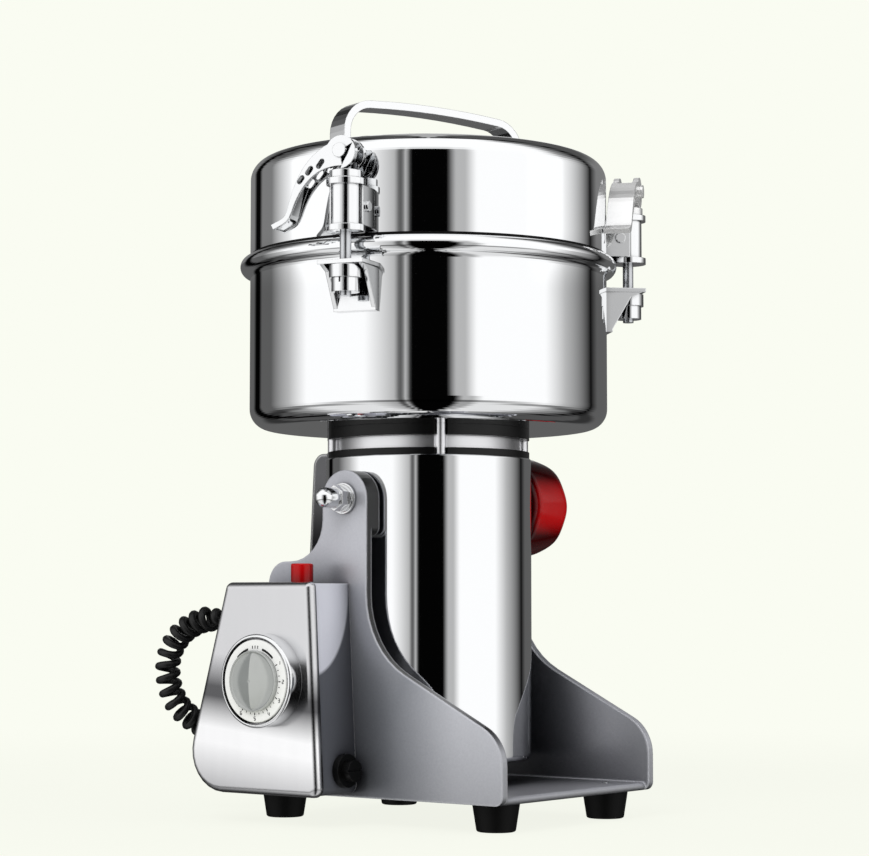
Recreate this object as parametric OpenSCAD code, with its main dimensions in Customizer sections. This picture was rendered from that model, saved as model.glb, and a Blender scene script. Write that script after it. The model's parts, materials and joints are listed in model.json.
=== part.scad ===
/* [Base frame] */
// Gap between the motor housing and an arm plate
arm_gap = 9; // [8.5:0.5:20]
// Thickness of an arm plate
arm_t = 5; // [4:0.5:6]
// How far the front of the base lies ahead of the motor axis
front_reach = 110.5; // [104:0.5:125]
// How far the back of the base lies behind the motor axis
rear_reach = 88; // [84:0.5:92]
// Thickness of the base plate
plate_t = 4.5; // [3.5:0.5:5]
// Height of the pivot above the underside of the base plate
pivot_h = 171.5; // [170:0.5:180]
// How far the pivot lies behind the motor axis
pivot_y = 2.5; // [0:0.5:3]
// Radius of the rounded head of an arm
head_r = 16.5; // [15:0.5:18]
// How far the head boss stands in from the arm plate
head_boss = 7; // [5:0.5:7.5]
// Height of the sloping front edge where it meets the neck of the arm
slope_top = 84.5; // [80:0.5:90]
// Height of the sloping front edge above the toe
slope_low = 36; // [32:0.5:40]
// Radius of the hollow between the slope and the neck
sweep_r = 51; // [30:1:51]
// Radius of the toe
toe_r = 24; // [10:1:24]
// Height of the shelf behind the neck
shelf_z = 135.5; // [132:0.5:138]
// Radius of the hollow behind the neck
shelf_r = 24; // [10:1:24]
// Where the shelf turns down, behind the motor axis
shoulder_y = 58; // [54:0.5:62]
// Radius of that shoulder
shoulder_r = 13; // [6:1:14]
// Rounding of the two lower corners, seen from the side
base_corner_r = 5; // [2:0.5:6]

/* [Feet and screws] */
// Height of a rubber foot
foot_h = 16; // [12:0.5:20]
// Diameter of a foot at the plate
foot_top_d = 27; // [24:0.5:30]
// Diameter of a foot at the floor
foot_low_d = 22; // [18:0.5:24]
// Distance of a foot in from the side of the frame
foot_in = 21.5; // [18:0.5:26]
// Distance of the front feet ahead of the motor axis
foot_front_y = 90.5; // [84:0.5:92]
// Distance of the back feet behind the motor axis
foot_rear_y = 66; // [60:0.5:70]
// Shank diameter of the small screws
screw_d = 4; // [3:0.5:5]
// Head diameter of the small screws
screw_head_d = 7.5; // [6.5:0.5:8]
// Head height of the small screws
screw_head_h = 2.4; // [1.5:0.1:3]

/* [Control box] */
// Depth of the box out from the arm, cover and all
box_d = 36; // [32:0.5:42]
// Sheet thickness of the box
box_wall = 1.6; // [1:0.1:2.5]
// Thickness of the cover plate
cover_t = 2; // [1.5:0.1:3]
// Height of the box top above the underside of the base plate
box_top = 122.3; // [118:0.5:126]
// Gap under the box, above the underside of the base plate
box_low = 2.3; // [0.5:0.1:4]
// Back end of the box top
box_top_rear = 62.5; // [58:0.5:66]
// Back end of the box foot, before its corner is rounded
box_low_rear = 97; // [90:0.5:98]
// Front end of the box top, ahead of the motor axis
box_top_front = 1; // [0:0.5:3]
// Front end of the box foot, ahead of the motor axis
box_low_front = 7.5; // [6:0.5:9]
// Radius of the big lower back corner
box_sweep_r = 24; // [16:1:32]
// Radius of the upper back corner
box_corner_r = 6; // [3:0.5:8]
// Dial centre behind the motor axis
dial_y = 30; // [28:0.5:34]
// Dial centre above the underside of the base plate
dial_z = 66.8; // [64:0.5:70]
// Outer radius of the dial ring
bezel_r = 26.8; // [26.8:0.2:29]
// Height of the dial ring
bezel_h = 10; // [7:0.5:12]
// Radius of the white dial
dial_r = 24.6; // [23:0.1:24.8]
// Radius of the timer knob
timer_knob_r = 15; // [12:0.5:18]
// Height of the timer knob
timer_knob_h = 13; // [9:0.5:16]
// Diameter of the timer spindle
spindle_d = 6; // [5:0.5:8]
// Diameter of the reset button
button_d = 13; // [10:0.5:15]
// How far the reset button stands up
button_h = 11.5; // [8:0.5:14]
// Button centre behind the motor axis
button_y = 19; // [14:0.5:24]
// Button centre out from the arm
button_x = 18; // [16:0.5:20]
// Outer diameter of the fuse holder
fuse_d = 19; // [16:0.5:20]
// Diameter of the fuse cap
fuse_cap_d = 12; // [10:0.5:13]
// Fuse holder centre out from the arm
fuse_x = 11.5; // [11:0.5:14]
// Fuse holder centre above the underside of the base plate
fuse_z = 15.8; // [14:0.5:20]

/* [Motor housing] */
// Outer radius of the motor housing
housing_r = 62; // [61.4:0.1:62.2]
// Wall thickness of the motor housing
housing_wall = 1.6; // [1:0.1:2.5]
// Height of the motor housing
housing_h = 179.5; // [176:0.5:179.5]
// Height of the housing top above the underside of the base plate
housing_top = 197.4; // [197:0.1:199]
// Rounding of the lower edge
housing_edge_r = 4; // [3.5:0.5:6]
// Outer diameter of a pivot pad
pad_d = 26; // [22:0.5:30]
// Diameter of the left pivot bolt
bolt_d = 8; // [6:0.5:10]
// Diameter of the right clamp stud
stud_d = 10; // [8:0.5:12]
// Radius of the shaft
shaft_r = 5; // [4:0.5:6]
// Gap between the outside of the motor housing and the field core
core_gap = 12; // [10:0.5:14]
// Length of the field core
core_h = 62; // [54:1:66]
// Depth of the field core round the armature
core_depth = 21; // [19:0.5:24]
// Number of armature slots
armature_slots = 16; // [10:1:20]
// Number of fan blades
fan_blades = 9; // [7:1:12]
// Half width of the wiring cover at the back
wiring_half_w = 22; // [18:0.5:26]

/* [Neck] */
// How far the two black rings stand in from the motor housing
neck_in = 1; // [0.8:0.1:3]
// Height of the lower black ring
ring_low_h = 3.9; // [3:0.1:5]
// Height of the bright spacer between them
spacer_h = 7.5; // [6:0.5:9]
// Height of the upper black ring
ring_top_h = 6.5; // [5:0.5:8]
// How far the spacer stands in from the black rings
spacer_in = 5.5; // [4:0.5:7]
// Width of the black rings from outside to bore
neck_w = 13; // [11:0.5:17]
// Diameter of a clamping post
post_d = 7.3; // [6:0.1:8]

/* [Bowl] */
// Outer radius of the bowl
bowl_r = 108; // [107:0.5:109]
// Wall thickness of the bowl
bowl_wall = 1.5; // [1:0.1:2]
// Height of the bowl from its underside to its flat rim
bowl_h = 103; // [101:0.5:106]
// Radius of the lower corner
bowl_corner_r = 12; // [8:0.5:14]
// Radius of the rolled rim
rim_r = 5.5; // [4.5:0.1:5.8]
// Gap between the bowl's outside and the tips of the blades
blade_gap = 9; // [6:0.5:18]
// Thickness of a blade
blade_t = 3; // [2:0.5:4]
// Width of a blade
blade_w = 24; // [18:0.5:28]

/* [Lid] */
// Height of the lid
lid_h = 57.7; // [56:0.1:60]
// Wall thickness of the lid
lid_wall = 1.5; // [1:0.1:2]
// Radius of the upper corner
lid_corner_r = 12; // [8:0.5:14]
// Thickness of the gasket
gasket_t = 2; // [1.5:0.1:3]
// Length of the handle over its legs
handle_l = 134; // [120:1:140]
// Height of the handle above the lid
handle_h = 34; // [30:0.5:40]
// Width of the handle strap
handle_w = 15.5; // [13:0.5:18]
// Thickness of the handle strap
handle_t = 4.5; // [3:0.5:6]
// Outer radius of the handle corners
handle_r = 20; // [14:0.5:22]

/* [Latches] */
// How far a latch rod stands out from the bowl
latch_out = 16; // [16:0.5:18]
// Rod diameter
rod_d = 6.5; // [6:0.1:7]
// Barrel diameter
barrel_d = 17; // [16:0.5:18]
// Diameter of the barrel flanges
flange_d = 22; // [20:0.5:23]
// Collar diameter
collar_d = 18.4; // [17:0.1:19]
// Collar height
collar_h = 4.2; // [3.6:0.1:5]
// Lever pin above the gasket seat of the bowl
pin_h = 45.3; // [45:0.1:47]
// Largest radius of the cam
cam_r = 10.3; // [10:0.1:11]
// How far the cam lowers the rod
cam_drop = 1.5; // [1:0.1:2]
// Width of the lever
lever_w = 15.5; // [14.5:0.1:16]
// Lever pin diameter
pin_d = 6; // [5:0.1:6.5]
// Nut diameter
nut_d = 16; // [15:0.5:17]
// Diameter of the flange on top of the nut
nut_flange_d = 18.9; // [18:0.1:19]
// Height of the nut
nut_h = 15.2; // [13:0.1:16]
// Thickness of the keeper sheet
keeper_t = 2.4; // [1.8:0.1:2.6]
// Top of the keeper below the gasket seat
keeper_drop = 15.8; // [14.5:0.1:17]
// Width of the keeper
keeper_w = 26; // [25:0.5:28]
// Height of the keeper
keeper_h = 27; // [25:0.5:30]

/* [Clamp knob] */
// Radius over the lobes of the clamp knob
knob_r = 31; // [28:0.5:33]
// Number of lobes
knob_lobes = 6; // [5:1:8]
// Thickness of the knob
knob_t = 21; // [17:0.5:24]
// Length of its hub
knob_hub = 9; // [7:0.5:12]

/* [Curly cord] */
// Outer diameter of the curls
curl_d = 15.6; // [15:0.1:16]
// Diameter of the cord
cord_d = 4.4; // [4:0.1:4.6]
// Number of curls
curls = 28; // [22:1:28]

/* [Hidden] */

// Overrun of cuts, running fit on a radius, gap between parts that move past each other, push fit
over = 1;
fit = 0.06;
gap = 0.3;
seat_gap = 0.1;
fine = 64;
round_steps = 8;

// Heights above the floor
plate_z = foot_h;
plate_top = plate_z + plate_t;
pivot_z = plate_z + pivot_h;
house_top_z = plate_z + housing_top;
house_low_z = house_top_z - housing_h;
ring_low_top = house_top_z + ring_low_h;
spacer_top = ring_low_top + spacer_h;
bowl_z = spacer_top + ring_top_h;
rim_z = bowl_z + bowl_h;
lid_z = rim_z + gasket_t;
lid_top = lid_z + lid_h;
arm_in = housing_r + arm_gap;
arm_x = arm_in + arm_t;
box_out = arm_x + box_d;
box_mid_x = arm_x + button_x;

// Points on an arc, and an outline whose corners [y, z, radius] are rounded
function arc(c, r, a0, a1, n) = [for (i = [0:n]) c + r * [cos(a0 + (a1 - a0) * i / n), sin(a0 + (a1 - a0) * i / n)]];
function unit(v) = v / norm(v);
function flat(p) = [p[0], p[1]];
function turn_back(a) = a > 180 ? a - 360 : (a < -180 ? a + 360 : a);
function corner(a, b, c, n) =
    let (u = unit(flat(a) - flat(b)), v = unit(flat(c) - flat(b)), half = acos(u * v) / 2,
         reach = b[2] / tan(half), mid = flat(b) + unit(u + v) * b[2] / sin(half),
         s = flat(b) + u * reach - mid, e = flat(b) + v * reach - mid, a0 = atan2(s[1], s[0]),
         sweep = turn_back(atan2(e[1], e[0]) - a0))
    arc(mid, b[2], a0, a0 + sweep, n);
function rounded(p, n) = [for (i = [0:len(p) - 1])
    each (p[i][2] > 0 ? corner(p[(i + len(p) - 1) % len(p)], p[i], p[(i + 1) % len(p)], n) : [flat(p[i])])];

// Stands a side view drawn as [y, z] up as a plate from x to x + t
module side_plate(x, t) translate([x, 0, 0]) rotate([90, 0, 90]) linear_extrude(t) children();
// A cylinder along X, from x0 to x1
module x_rod(x0, x1, r, y, z) translate([x0, y, z]) rotate([0, 90, 0]) cylinder(h = x1 - x0, r = r, $fn = fine);
// A cylinder along Y, from y0 to y1
module y_rod(y0, y1, r, x, z) translate([x, y0, z]) rotate([-90, 0, 0]) cylinder(h = y1 - y0, r = r, $fn = fine);
module tube(h, r, bore) difference() {
    cylinder(h = h, r = r, $fn = fine);
    translate([0, 0, -over]) cylinder(h = h + 2 * over, r = bore, $fn = fine);
}
module both_sides() for (s = [0, 1]) mirror([s, 0, 0]) children();

// Base frame: one casting of a plate and two arms
head_low = pivot_h - head_r - base_corner_r;
function arm_outline() = rounded([
    [-front_reach, 0, base_corner_r], [-front_reach, slope_low, toe_r],
    [pivot_y - head_r, slope_top, sweep_r], [pivot_y - head_r, pivot_h + head_r, head_r - fit],
    [pivot_y + head_r, pivot_h + head_r, head_r - fit], [pivot_y + head_r, shelf_z, shelf_r],
    [shoulder_y, shelf_z, shoulder_r], [rear_reach, 0, base_corner_r]], round_steps);
function boss_outline() = rounded([
    [pivot_y - head_r, head_low, base_corner_r], [pivot_y - head_r, pivot_h + head_r, head_r - fit],
    [pivot_y + head_r, pivot_h + head_r, head_r - fit], [pivot_y + head_r, head_low, base_corner_r]],
    round_steps);
foot_x = arm_x - foot_in;
screw_spots = [for (x = [-foot_x, foot_x], y = [-foot_front_y, foot_rear_y]) [x, y]];
plate_edge_r = plate_t / 2;
function plate_outline() = rounded([
    [-front_reach + plate_edge_r, 0, plate_edge_r - fit], [-front_reach + plate_edge_r, plate_t, plate_edge_r - fit],
    [rear_reach - base_corner_r, plate_t, plate_edge_r - fit], [rear_reach - base_corner_r, 0, plate_edge_r - fit]],
    round_steps);
module base_frame() color("#9c9ca4") difference() {
    translate([0, 0, plate_z]) {
        side_plate(-arm_in, 2 * arm_in) polygon(plate_outline());
        both_sides() {
            side_plate(arm_in, arm_t) polygon(arm_outline());
            side_plate(arm_in - head_boss, head_boss) polygon(boss_outline());
        }
    }
    x_rod(-arm_x - over, 0, bolt_d / 2 + fit, pivot_y, pivot_z);
    x_rod(0, arm_x + over, stud_d / 2 + fit, pivot_y, pivot_z);
    for (p = screw_spots) translate([p[0], p[1], 0]) cylinder(h = plate_top + over, r = screw_d / 2 + fit, $fn = fine);
    for (p = box_screws) x_rod(-arm_x - over, -arm_in + over, screw_d / 2 + fit, p[0], plate_z + p[1]);
}

// Feet, and the screws that hold the feet and the control box
foot_wall = 5;
foot_edge = 1.5;
module rubber_feet() color("#141414") for (p = screw_spots) translate([p[0], p[1], 0]) rotate_extrude($fn = fine)
    polygon(rounded([
        [screw_d / 2 + seat_gap, plate_z, 0], [screw_d / 2 + seat_gap, foot_wall, 0], [foot_wall + gap, foot_wall, 0],
        [foot_wall + gap, 0, 0], [foot_low_d / 2, 0, foot_edge], [foot_top_d / 2, plate_z, 0]], round_steps));
module cap_screw(length) {
    cylinder(h = screw_head_h, r = screw_head_d / 2, $fn = fine);
    translate([0, 0, screw_head_h - seat_gap]) cylinder(h = length + seat_gap, r = screw_d / 2, $fn = fine);
}
screw_inset = 7;
box_screws = [[box_top_front + screw_inset, box_top - screw_inset], [box_top_rear - screw_inset, box_top - screw_inset],
    [-box_low_front + 4 * screw_inset, box_low + screw_inset], [box_low_rear - 4 * screw_inset, box_low + screw_inset]];
screw_bite = 7;
module frame_screws() color("#c8c8c8") {
    for (p = screw_spots) translate([p[0], p[1], foot_wall - screw_head_h]) cap_screw(foot_h);
    for (p = box_screws) translate([-arm_in + screw_head_h, p[0], plate_z + p[1]]) rotate([0, -90, 0])
        cap_screw(arm_t + screw_bite);
}

// Control box on the left arm
function box_outline(inset) = rounded([
    [-box_low_front + inset, box_low + inset, base_corner_r - inset],
    [-box_top_front + inset, box_top - inset, 0],
    [box_top_rear - inset, box_top - inset, box_corner_r - inset],
    [box_low_rear - inset, box_low + inset, box_sweep_r - inset]], round_steps);
box_in = box_out - cover_t;
cover_edge = 0.8;
boss_out_r = screw_d;
front_slant = atan((box_low_front - box_top_front) / (box_top - box_low));
rear_slant = atan((box_low_rear - box_top_rear) / (box_top - box_low));
function box_front_y(z) = -box_top_front - (box_top - z) * tan(front_slant);
function box_rear_y(z) = box_top_rear + (box_top - z) * tan(rear_slant);
gland_z = 98;
power_z = 52;
gland_hole_r = 5.5;
module box_rear_hole(z, r) translate([-box_mid_x, box_rear_y(z), plate_z + z]) rotate([-90 + rear_slant, 0, 0])
    translate([0, 0, -foot_wall]) cylinder(h = 2 * foot_wall, r = r, $fn = fine);
module control_box() color("#b4b4bc") difference() {
    union() {
        difference() {
            translate([0, 0, plate_z]) side_plate(-box_in, box_in - arm_x) polygon(box_outline(0));
            translate([0, 0, plate_z]) side_plate(-box_in - over, box_in - arm_x - box_wall + over)
                polygon(box_outline(box_wall));
        }
        for (p = box_screws) x_rod(-arm_x - screw_bite - over, -arm_x, boss_out_r, p[0], plate_z + p[1]);
    }
    for (p = box_screws) x_rod(-arm_x - screw_bite - over, -arm_x + over, screw_d / 2 + seat_gap, p[0], plate_z + p[1]);
    translate([-box_mid_x, button_y, plate_z + box_top - foot_wall])
        cylinder(h = 2 * foot_wall, r = button_d / 2 + gap, $fn = fine);
    at_fuse() translate([0, 0, -foot_wall]) cylinder(h = 2 * foot_wall, r = fuse_thread_r + fit, $fn = fine);
    box_rear_hole(gland_z, gland_hole_r);
    box_rear_hole(power_z, gland_hole_r);
}
cover_lip = 4;
module box_cover() color("#d6d8da") difference() {
    translate([0, 0, plate_z]) {
        side_plate(-box_out, cover_t) polygon(box_outline(-cover_edge));
        side_plate(-box_in - fit, cover_lip) difference() {
            polygon(box_outline(box_wall + seat_gap));
            polygon(box_outline(2 * box_wall));
        }
    }
    x_rod(-box_out - over, -box_in + over, spindle_d, dial_y, plate_z + dial_z);
}
dial_z_abs = plate_z + dial_z;
module at_dial(x) translate([-box_out - x, dial_y, dial_z_abs]) rotate([0, -90, 0]) children();
bezel_edge = 1.6;
dial_depth = 4;
dial_t = 1.5;
module timer_bezel() color("#e0e0e0") at_dial(0) rotate_extrude($fn = 2 * fine) polygon(rounded([
    [dial_r + gap, 0, 0], [bezel_r, 0, 0], [bezel_r, bezel_h, bezel_edge], [dial_r + gap, bezel_h, 0]], round_steps));
module dial_plate() color("#f4f4f2") at_dial(bezel_h - dial_depth - dial_t) difference() {
    cylinder(h = dial_t, r = dial_r + gap - fit, $fn = 2 * fine);
    translate([0, 0, -over]) cylinder(h = dial_t + 2 * over, r = spindle_d / 2 + gap, $fn = fine);
}
timer_w = 44;
timer_t = 22;
module timer_body() color("#e6dfc8") difference() {
    union() {
        translate([-box_in + gap, dial_y - timer_w / 2, dial_z_abs - timer_w / 2]) cube([timer_t, timer_w, timer_w]);
        at_dial(-cover_t - gap) cylinder(h = cover_t + gap + bezel_h - dial_depth - dial_t, r = spindle_d - fit, $fn = fine);
    }
    at_dial(-timer_t / 2) cylinder(h = timer_t + bezel_h, r = spindle_d / 2 + fit, $fn = fine);
}
grip_half = 9.5;
grip_beyond = 0.8;
grip_reach = timer_knob_r + grip_beyond;
grip_round = (grip_half * grip_half + grip_reach * grip_reach) / (2 * grip_half);
grip_roof = 1.5;
knob_skirt = 3;
// The grip is a pointed arch with a ridge down its middle
module timer_grip() intersection() {
    translate([0, grip_round - grip_half, 0]) cylinder(h = timer_knob_h, r = grip_round, $fn = 2 * fine);
    translate([0, grip_half - grip_round, 0]) cylinder(h = timer_knob_h, r = grip_round, $fn = 2 * fine);
    translate([grip_reach - timer_knob_r, 0, 0]) cylinder(h = timer_knob_h, r = timer_knob_r, $fn = 2 * fine);
    translate([-2 * timer_knob_r, 0, 0]) rotate([90, 0, 90]) linear_extrude(4 * timer_knob_r) polygon([
        [-grip_half, 0], [grip_half, 0], [grip_half, timer_knob_h - grip_roof], [0, timer_knob_h],
        [-grip_half, timer_knob_h - grip_roof]]);
}
module timer_knob() color("#a9abad") {
    at_dial(bezel_h - dial_depth + gap) {
        cylinder(h = knob_skirt, r = timer_knob_r, $fn = 2 * fine);
        timer_grip();
    }
    at_dial(-timer_t / 3) cylinder(h = timer_t / 3 + bezel_h - dial_depth + knob_skirt, r = spindle_d / 2, $fn = fine);
}

// Reset button and breaker
button_travel = 2.5;
breaker_h = 30;
breaker_w = 19;
module reset_button() color("#b3121c") translate([-box_mid_x, button_y, plate_z + box_top]) {
    rotate_extrude($fn = fine) polygon(rounded([
        [0, -box_wall, 0], [button_d / 2, -box_wall, 0], [button_d / 2, button_h, over], [0, button_h, 0]], round_steps));
    translate([0, 0, -box_wall - foot_wall]) cylinder(h = foot_wall + seat_gap, r = spindle_d / 2, $fn = fine);
}
module breaker_body() color("#26262a") difference() {
    translate([-box_mid_x - breaker_w / 2, button_y - breaker_w / 2, plate_z + box_top - box_wall - gap - breaker_h])
        cube([breaker_w, breaker_w, breaker_h]);
    translate([-box_mid_x, button_y, plate_z + box_top - breaker_h / 2])
        cylinder(h = breaker_h, r = spindle_d / 2 + fit, $fn = fine);
    translate([-box_mid_x, button_y, plate_z + box_top - box_wall - 2 * gap - button_travel])
        cylinder(h = breaker_h, r = button_d / 2 + gap, $fn = fine);
}

// Fuse holder at the front of the box
fuse_thread_r = 6.5;
fuse_bore_r = 4;
fuse_flange = 4;
fuse_back = 22;
module at_fuse() translate([-arm_x - fuse_x, box_front_y(fuse_z), plate_z + fuse_z])
    rotate([90 - front_slant, 0, 0]) children();
module fuse_socket() color("#151515") at_fuse() difference() {
    union() {
        cylinder(h = fuse_flange, r = fuse_d / 2, $fn = fine);
        translate([0, 0, -fuse_back]) cylinder(h = fuse_back + seat_gap, r = fuse_thread_r, $fn = fine);
    }
    translate([0, 0, -fuse_back + box_wall]) cylinder(h = fuse_back + fuse_flange + over, r = fuse_bore_r + fit, $fn = fine);
}
module fuse_cap() color("#1d1d1d") at_fuse() difference() {
    union() {
        translate([0, 0, fuse_flange + seat_gap]) cylinder(h = foot_wall, r = fuse_cap_d / 2, $fn = fine);
        translate([0, 0, -fuse_flange]) cylinder(h = 2 * fuse_flange + 2 * seat_gap, r = fuse_bore_r, $fn = fine);
    }
    translate([-fuse_cap_d, -over / 2, fuse_flange + foot_wall - over]) cube([2 * fuse_cap_d, over, 2 * over]);
    translate([0, 0, -fuse_flange - over]) cylinder(h = fuse_flange, r = fuse_glass_r + fit, $fn = fine);
}
fuse_glass_r = 2.6;
module fuse_cartridge() color("#dfe6ea") at_fuse() translate([0, 0, -fuse_back + box_wall + gap])
    cylinder(h = fuse_back - box_wall - gap - over - seat_gap, r = fuse_glass_r, $fn = fine);
block_l = 34;
block_w = 12;
block_screw_r = 2.2;
module terminal_block() color("#e8e8e0") translate([-arm_x - box_wall - block_w, button_y, plate_z + 2 * box_low + block_w])
    difference() {
        cube([block_w, block_l, block_w]);
        for (i = [0:3]) translate([-over, block_l * (i + 0.5) / 4, block_w / 2]) rotate([0, 90, 0])
            cylinder(h = block_w / 2, r = block_screw_r, $fn = fine);
    }

// Strain reliefs
gland_r = 8;
gland_h = 7.5;
gland_nut = 3.5;
gland_grip = 2.2;
gland_rim_share = 0.75;
module gland(bore) difference() {
    union() {
        rotate_extrude($fn = fine) polygon(rounded([
            [0, 0, 0], [gland_r, 0, 0], [gland_r, gland_h, over], [gland_r * gland_rim_share, gland_h, 0],
            [0, gland_h, 0]], round_steps));
        translate([0, 0, -gland_nut]) cylinder(h = gland_nut + seat_gap, r = gland_hole_r - seat_gap, $fn = fine);
        translate([0, 0, -gland_grip - gland_nut]) cylinder(h = gland_nut, r = gland_r, $fn = 6);
    }
    translate([0, 0, gland_h - gland_nut]) cylinder(h = gland_nut + over, r = bore, $fn = fine);
}
gland_y = box_rear_y(gland_z);
module box_gland() color("#1a1a1a") translate([-box_mid_x, gland_y, plate_z + gland_z]) rotate([-90 + rear_slant, 0, 0])
    gland(cord_d / 2 + gap);
module power_gland() color("#1a1a1a") translate([-box_mid_x, box_rear_y(power_z), plate_z + power_z])
    rotate([-90 + rear_slant, 0, 0]) gland(cord_d / 2 + gap);
wiring_deep = 18.4;
wiring_top_deep = 10;
wiring_up = 28.1;
wiring_out = housing_r + wiring_deep;
wiring_low = house_low_z + wiring_up;
wiring_top = house_top_z + ring_low_h + over;
wiring_top_y = housing_r + wiring_top_deep;
wiring_slant = atan((wiring_out - wiring_top_y) / (wiring_top - wiring_low));
motor_gland_up = 16;
motor_gland_z = wiring_low + motor_gland_up;
motor_gland_y = wiring_out - (motor_gland_z - wiring_low) * tan(wiring_slant);
module motor_gland() color("#1a1a1a") translate([0, motor_gland_y, motor_gland_z])
    rotate([-90 + wiring_slant, 0, 0]) difference() {
        gland(cord_d / 2 + gap);
        translate([0, 0, -2 * gland_h]) cylinder(h = 2 * gland_h - box_wall / 2, r = 2 * gland_r, $fn = fine);
    }

// Curly cord: one unbroken tube wound along a route between the two glands
cord_seat = gland_h - gland_nut + gap;
function gland_exit(d) = [-box_mid_x, gland_y + d * cos(rear_slant), plate_z + gland_z + d * sin(rear_slant)];
function motor_exit(d) = [0, motor_gland_y + d * cos(wiring_slant), motor_gland_z + d * sin(wiring_slant)];
// The route's places, as shares of the box gland's way out and up and of the wiring cover's depth
route_shares = [
    [-1, 1.194, 1.0263], [-1.0106, 1.393, 0.9649], [-1.0106, 1.5299, 0.8509], [-1, 1.5547, 0.7105],
    [-0.9362, 1.5299, 0.5789], [-0.7872, 1.4925, 0.4825], [-0.5745, 1.4801, 0.4298],
    [-0.3404, 1.505, 0.4211], [-0.1277, 1.5299, 0.4825], [-0.0106, 1.4677, 0.5965], [0, 1.2935, 0.6754]];
route = concat([gland_exit(cord_seat), gland_exit(gland_h + cord_d)],
    [for (s = route_shares) [s[0] * box_mid_x, s[1] * wiring_out, s[2] * (plate_z + gland_z)]],
    [motor_exit(gland_h + cord_d), motor_exit(cord_seat)]);
per_curl = 8;
cord_sides = 6;
function on_route(t) = let (n = len(route) - 1, s = min(max(t, 0), 1) * n, i = min(floor(s), n - 1), f = s - i,
    p0 = route[max(i - 1, 0)], p1 = route[i], p2 = route[i + 1], p3 = route[min(i + 2, n)])
    (2 * p1 + (p2 - p0) * f + (2 * p0 - 5 * p1 + 4 * p2 - p3) * f * f + (3 * p1 - p0 - 3 * p2 + p3) * f * f * f) / 2;
fine_steps = 400;
route_fine = [for (i = [0:fine_steps]) on_route(i / fine_steps)];
route_sum = [for (i = 0, s = 0; i <= fine_steps; i = i + 1,
    s = s + (i > fine_steps ? 0 : norm(route_fine[i] - route_fine[i - 1]))) s];
route_len = route_sum[fine_steps];
function find_step(d, lo, hi) = hi - lo <= 1 ? lo
    : let (m = floor((lo + hi) / 2)) (route_sum[m] <= d ? find_step(d, m, hi) : find_step(d, lo, m));
function at_length(d) = let (i = find_step(d, 0, fine_steps), w = (d - route_sum[i]) / (route_sum[i + 1] - route_sum[i]))
    route_fine[i] * (1 - w) + route_fine[i + 1] * w;
rings = curls * per_curl;
lead = cord_d + gland_nut;
function spot(i) = lead + (route_len - 2 * lead) * i / rings;
axis_points = [for (i = [0:rings]) at_length(spot(i))];
function heading(p, i) = unit(p[min(i + 1, len(p) - 1)] - p[max(i - 1, 0)]);
function carried(v, t) = unit(v - t * (v * t));
function normals(p, first) = [for (i = 0, v = carried(first, heading(p, 0)); i < len(p); i = i + 1,
    v = i < len(p) ? carried(v, heading(p, i)) : v) v];
axis_normals = normals(axis_points, [1, 0, 0]);
curl_r = (curl_d - cord_d) / 2;
function swell(i) = curl_r * min(1, i / per_curl, (rings - i) / per_curl);
curl_points = [for (i = [0:rings]) let (n = axis_normals[i], b = cross(heading(axis_points, i), n), a = 360 * i / per_curl)
    axis_points[i] + swell(i) * (cos(a) * n + sin(a) * b)];
cord_points = concat([at_length(0), at_length(cord_d / 2)], curl_points,
    [at_length(route_len - cord_d / 2), at_length(route_len)]);
cord_normals = normals(cord_points, [1, 0, 0]);
cord_skin = [for (i = [0:len(cord_points) - 1], k = [0:cord_sides - 1])
    let (t = heading(cord_points, i), n = cord_normals[i], a = 360 * k / cord_sides)
    cord_points[i] + cord_d / 2 * (cos(a) * n + sin(a) * cross(t, n))];
cord_last = (len(cord_points) - 1) * cord_sides;
cord_faces = concat(
    [for (k = [1:cord_sides - 2]) [0, k + 1, k]],
    [for (k = [1:cord_sides - 2]) [cord_last, cord_last + k, cord_last + k + 1]],
    [for (i = [0:len(cord_points) - 2], k = [0:cord_sides - 1]) let (a = i * cord_sides + k,
        b = i * cord_sides + (k + 1) % cord_sides) each [[a, b, b + cord_sides], [a, b + cord_sides, a + cord_sides]]]);
near_share = 0.6;
near_turn = ceil(per_curl * near_share);
cord_gap = min([for (i = [0:len(cord_points) - 1 - near_turn]) min([for (j = [i + near_turn:len(cord_points) - 1])
    norm(cord_points[i] - cord_points[j])])]) - cord_d;
cord_run = [for (i = 1, s = 0; i <= len(cord_points); i = i + 1,
    s = s + (i <= len(cord_points) ? norm(cord_points[min(i, len(cord_points)) - 1] - cord_points[max(i - 2, 0)]) : 0)) s];
echo(cord_least_gap = cord_gap, cord_axis_length = route_len, cord_length = cord_run[len(cord_run) - 1]);
module curly_cord() color("#101010") polyhedron(points = cord_skin, faces = cord_faces, convexity = 10);

// Clamp knob on the right
knob_face = arm_x + gap;
hub_r = 12;
knob_dish = 4;
knob_back_r = 5;
knob_front_r = 9;
flute_r = 8;
flute_in = 2;
module clamp_knob() color("#b3121c") translate([knob_face, pivot_y, pivot_z]) rotate([0, 90, 0]) difference() {
    rotate_extrude($fn = 2 * fine) polygon(rounded([
        [stud_d / 2 + seat_gap, 0, 0], [hub_r, 0, over], [hub_r, knob_hub + knob_dish, over],
        [knob_r - knob_back_r, knob_hub, over], [knob_r, knob_hub + over, knob_back_r / 2],
        [knob_r, knob_hub + knob_t, knob_front_r], [0, knob_hub + knob_t + over, 0],
        [0, knob_hub + knob_t / 2, 0], [stud_d / 2 + seat_gap, knob_hub + knob_t / 2, 0]], round_steps));
    for (i = [0:knob_lobes - 1]) rotate(360 * (i + 0.5) / knob_lobes) translate([knob_r + flute_r - flute_in, 0, 0])
        cylinder(h = 2 * knob_t + knob_hub, r = flute_r, $fn = fine);
}
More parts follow.
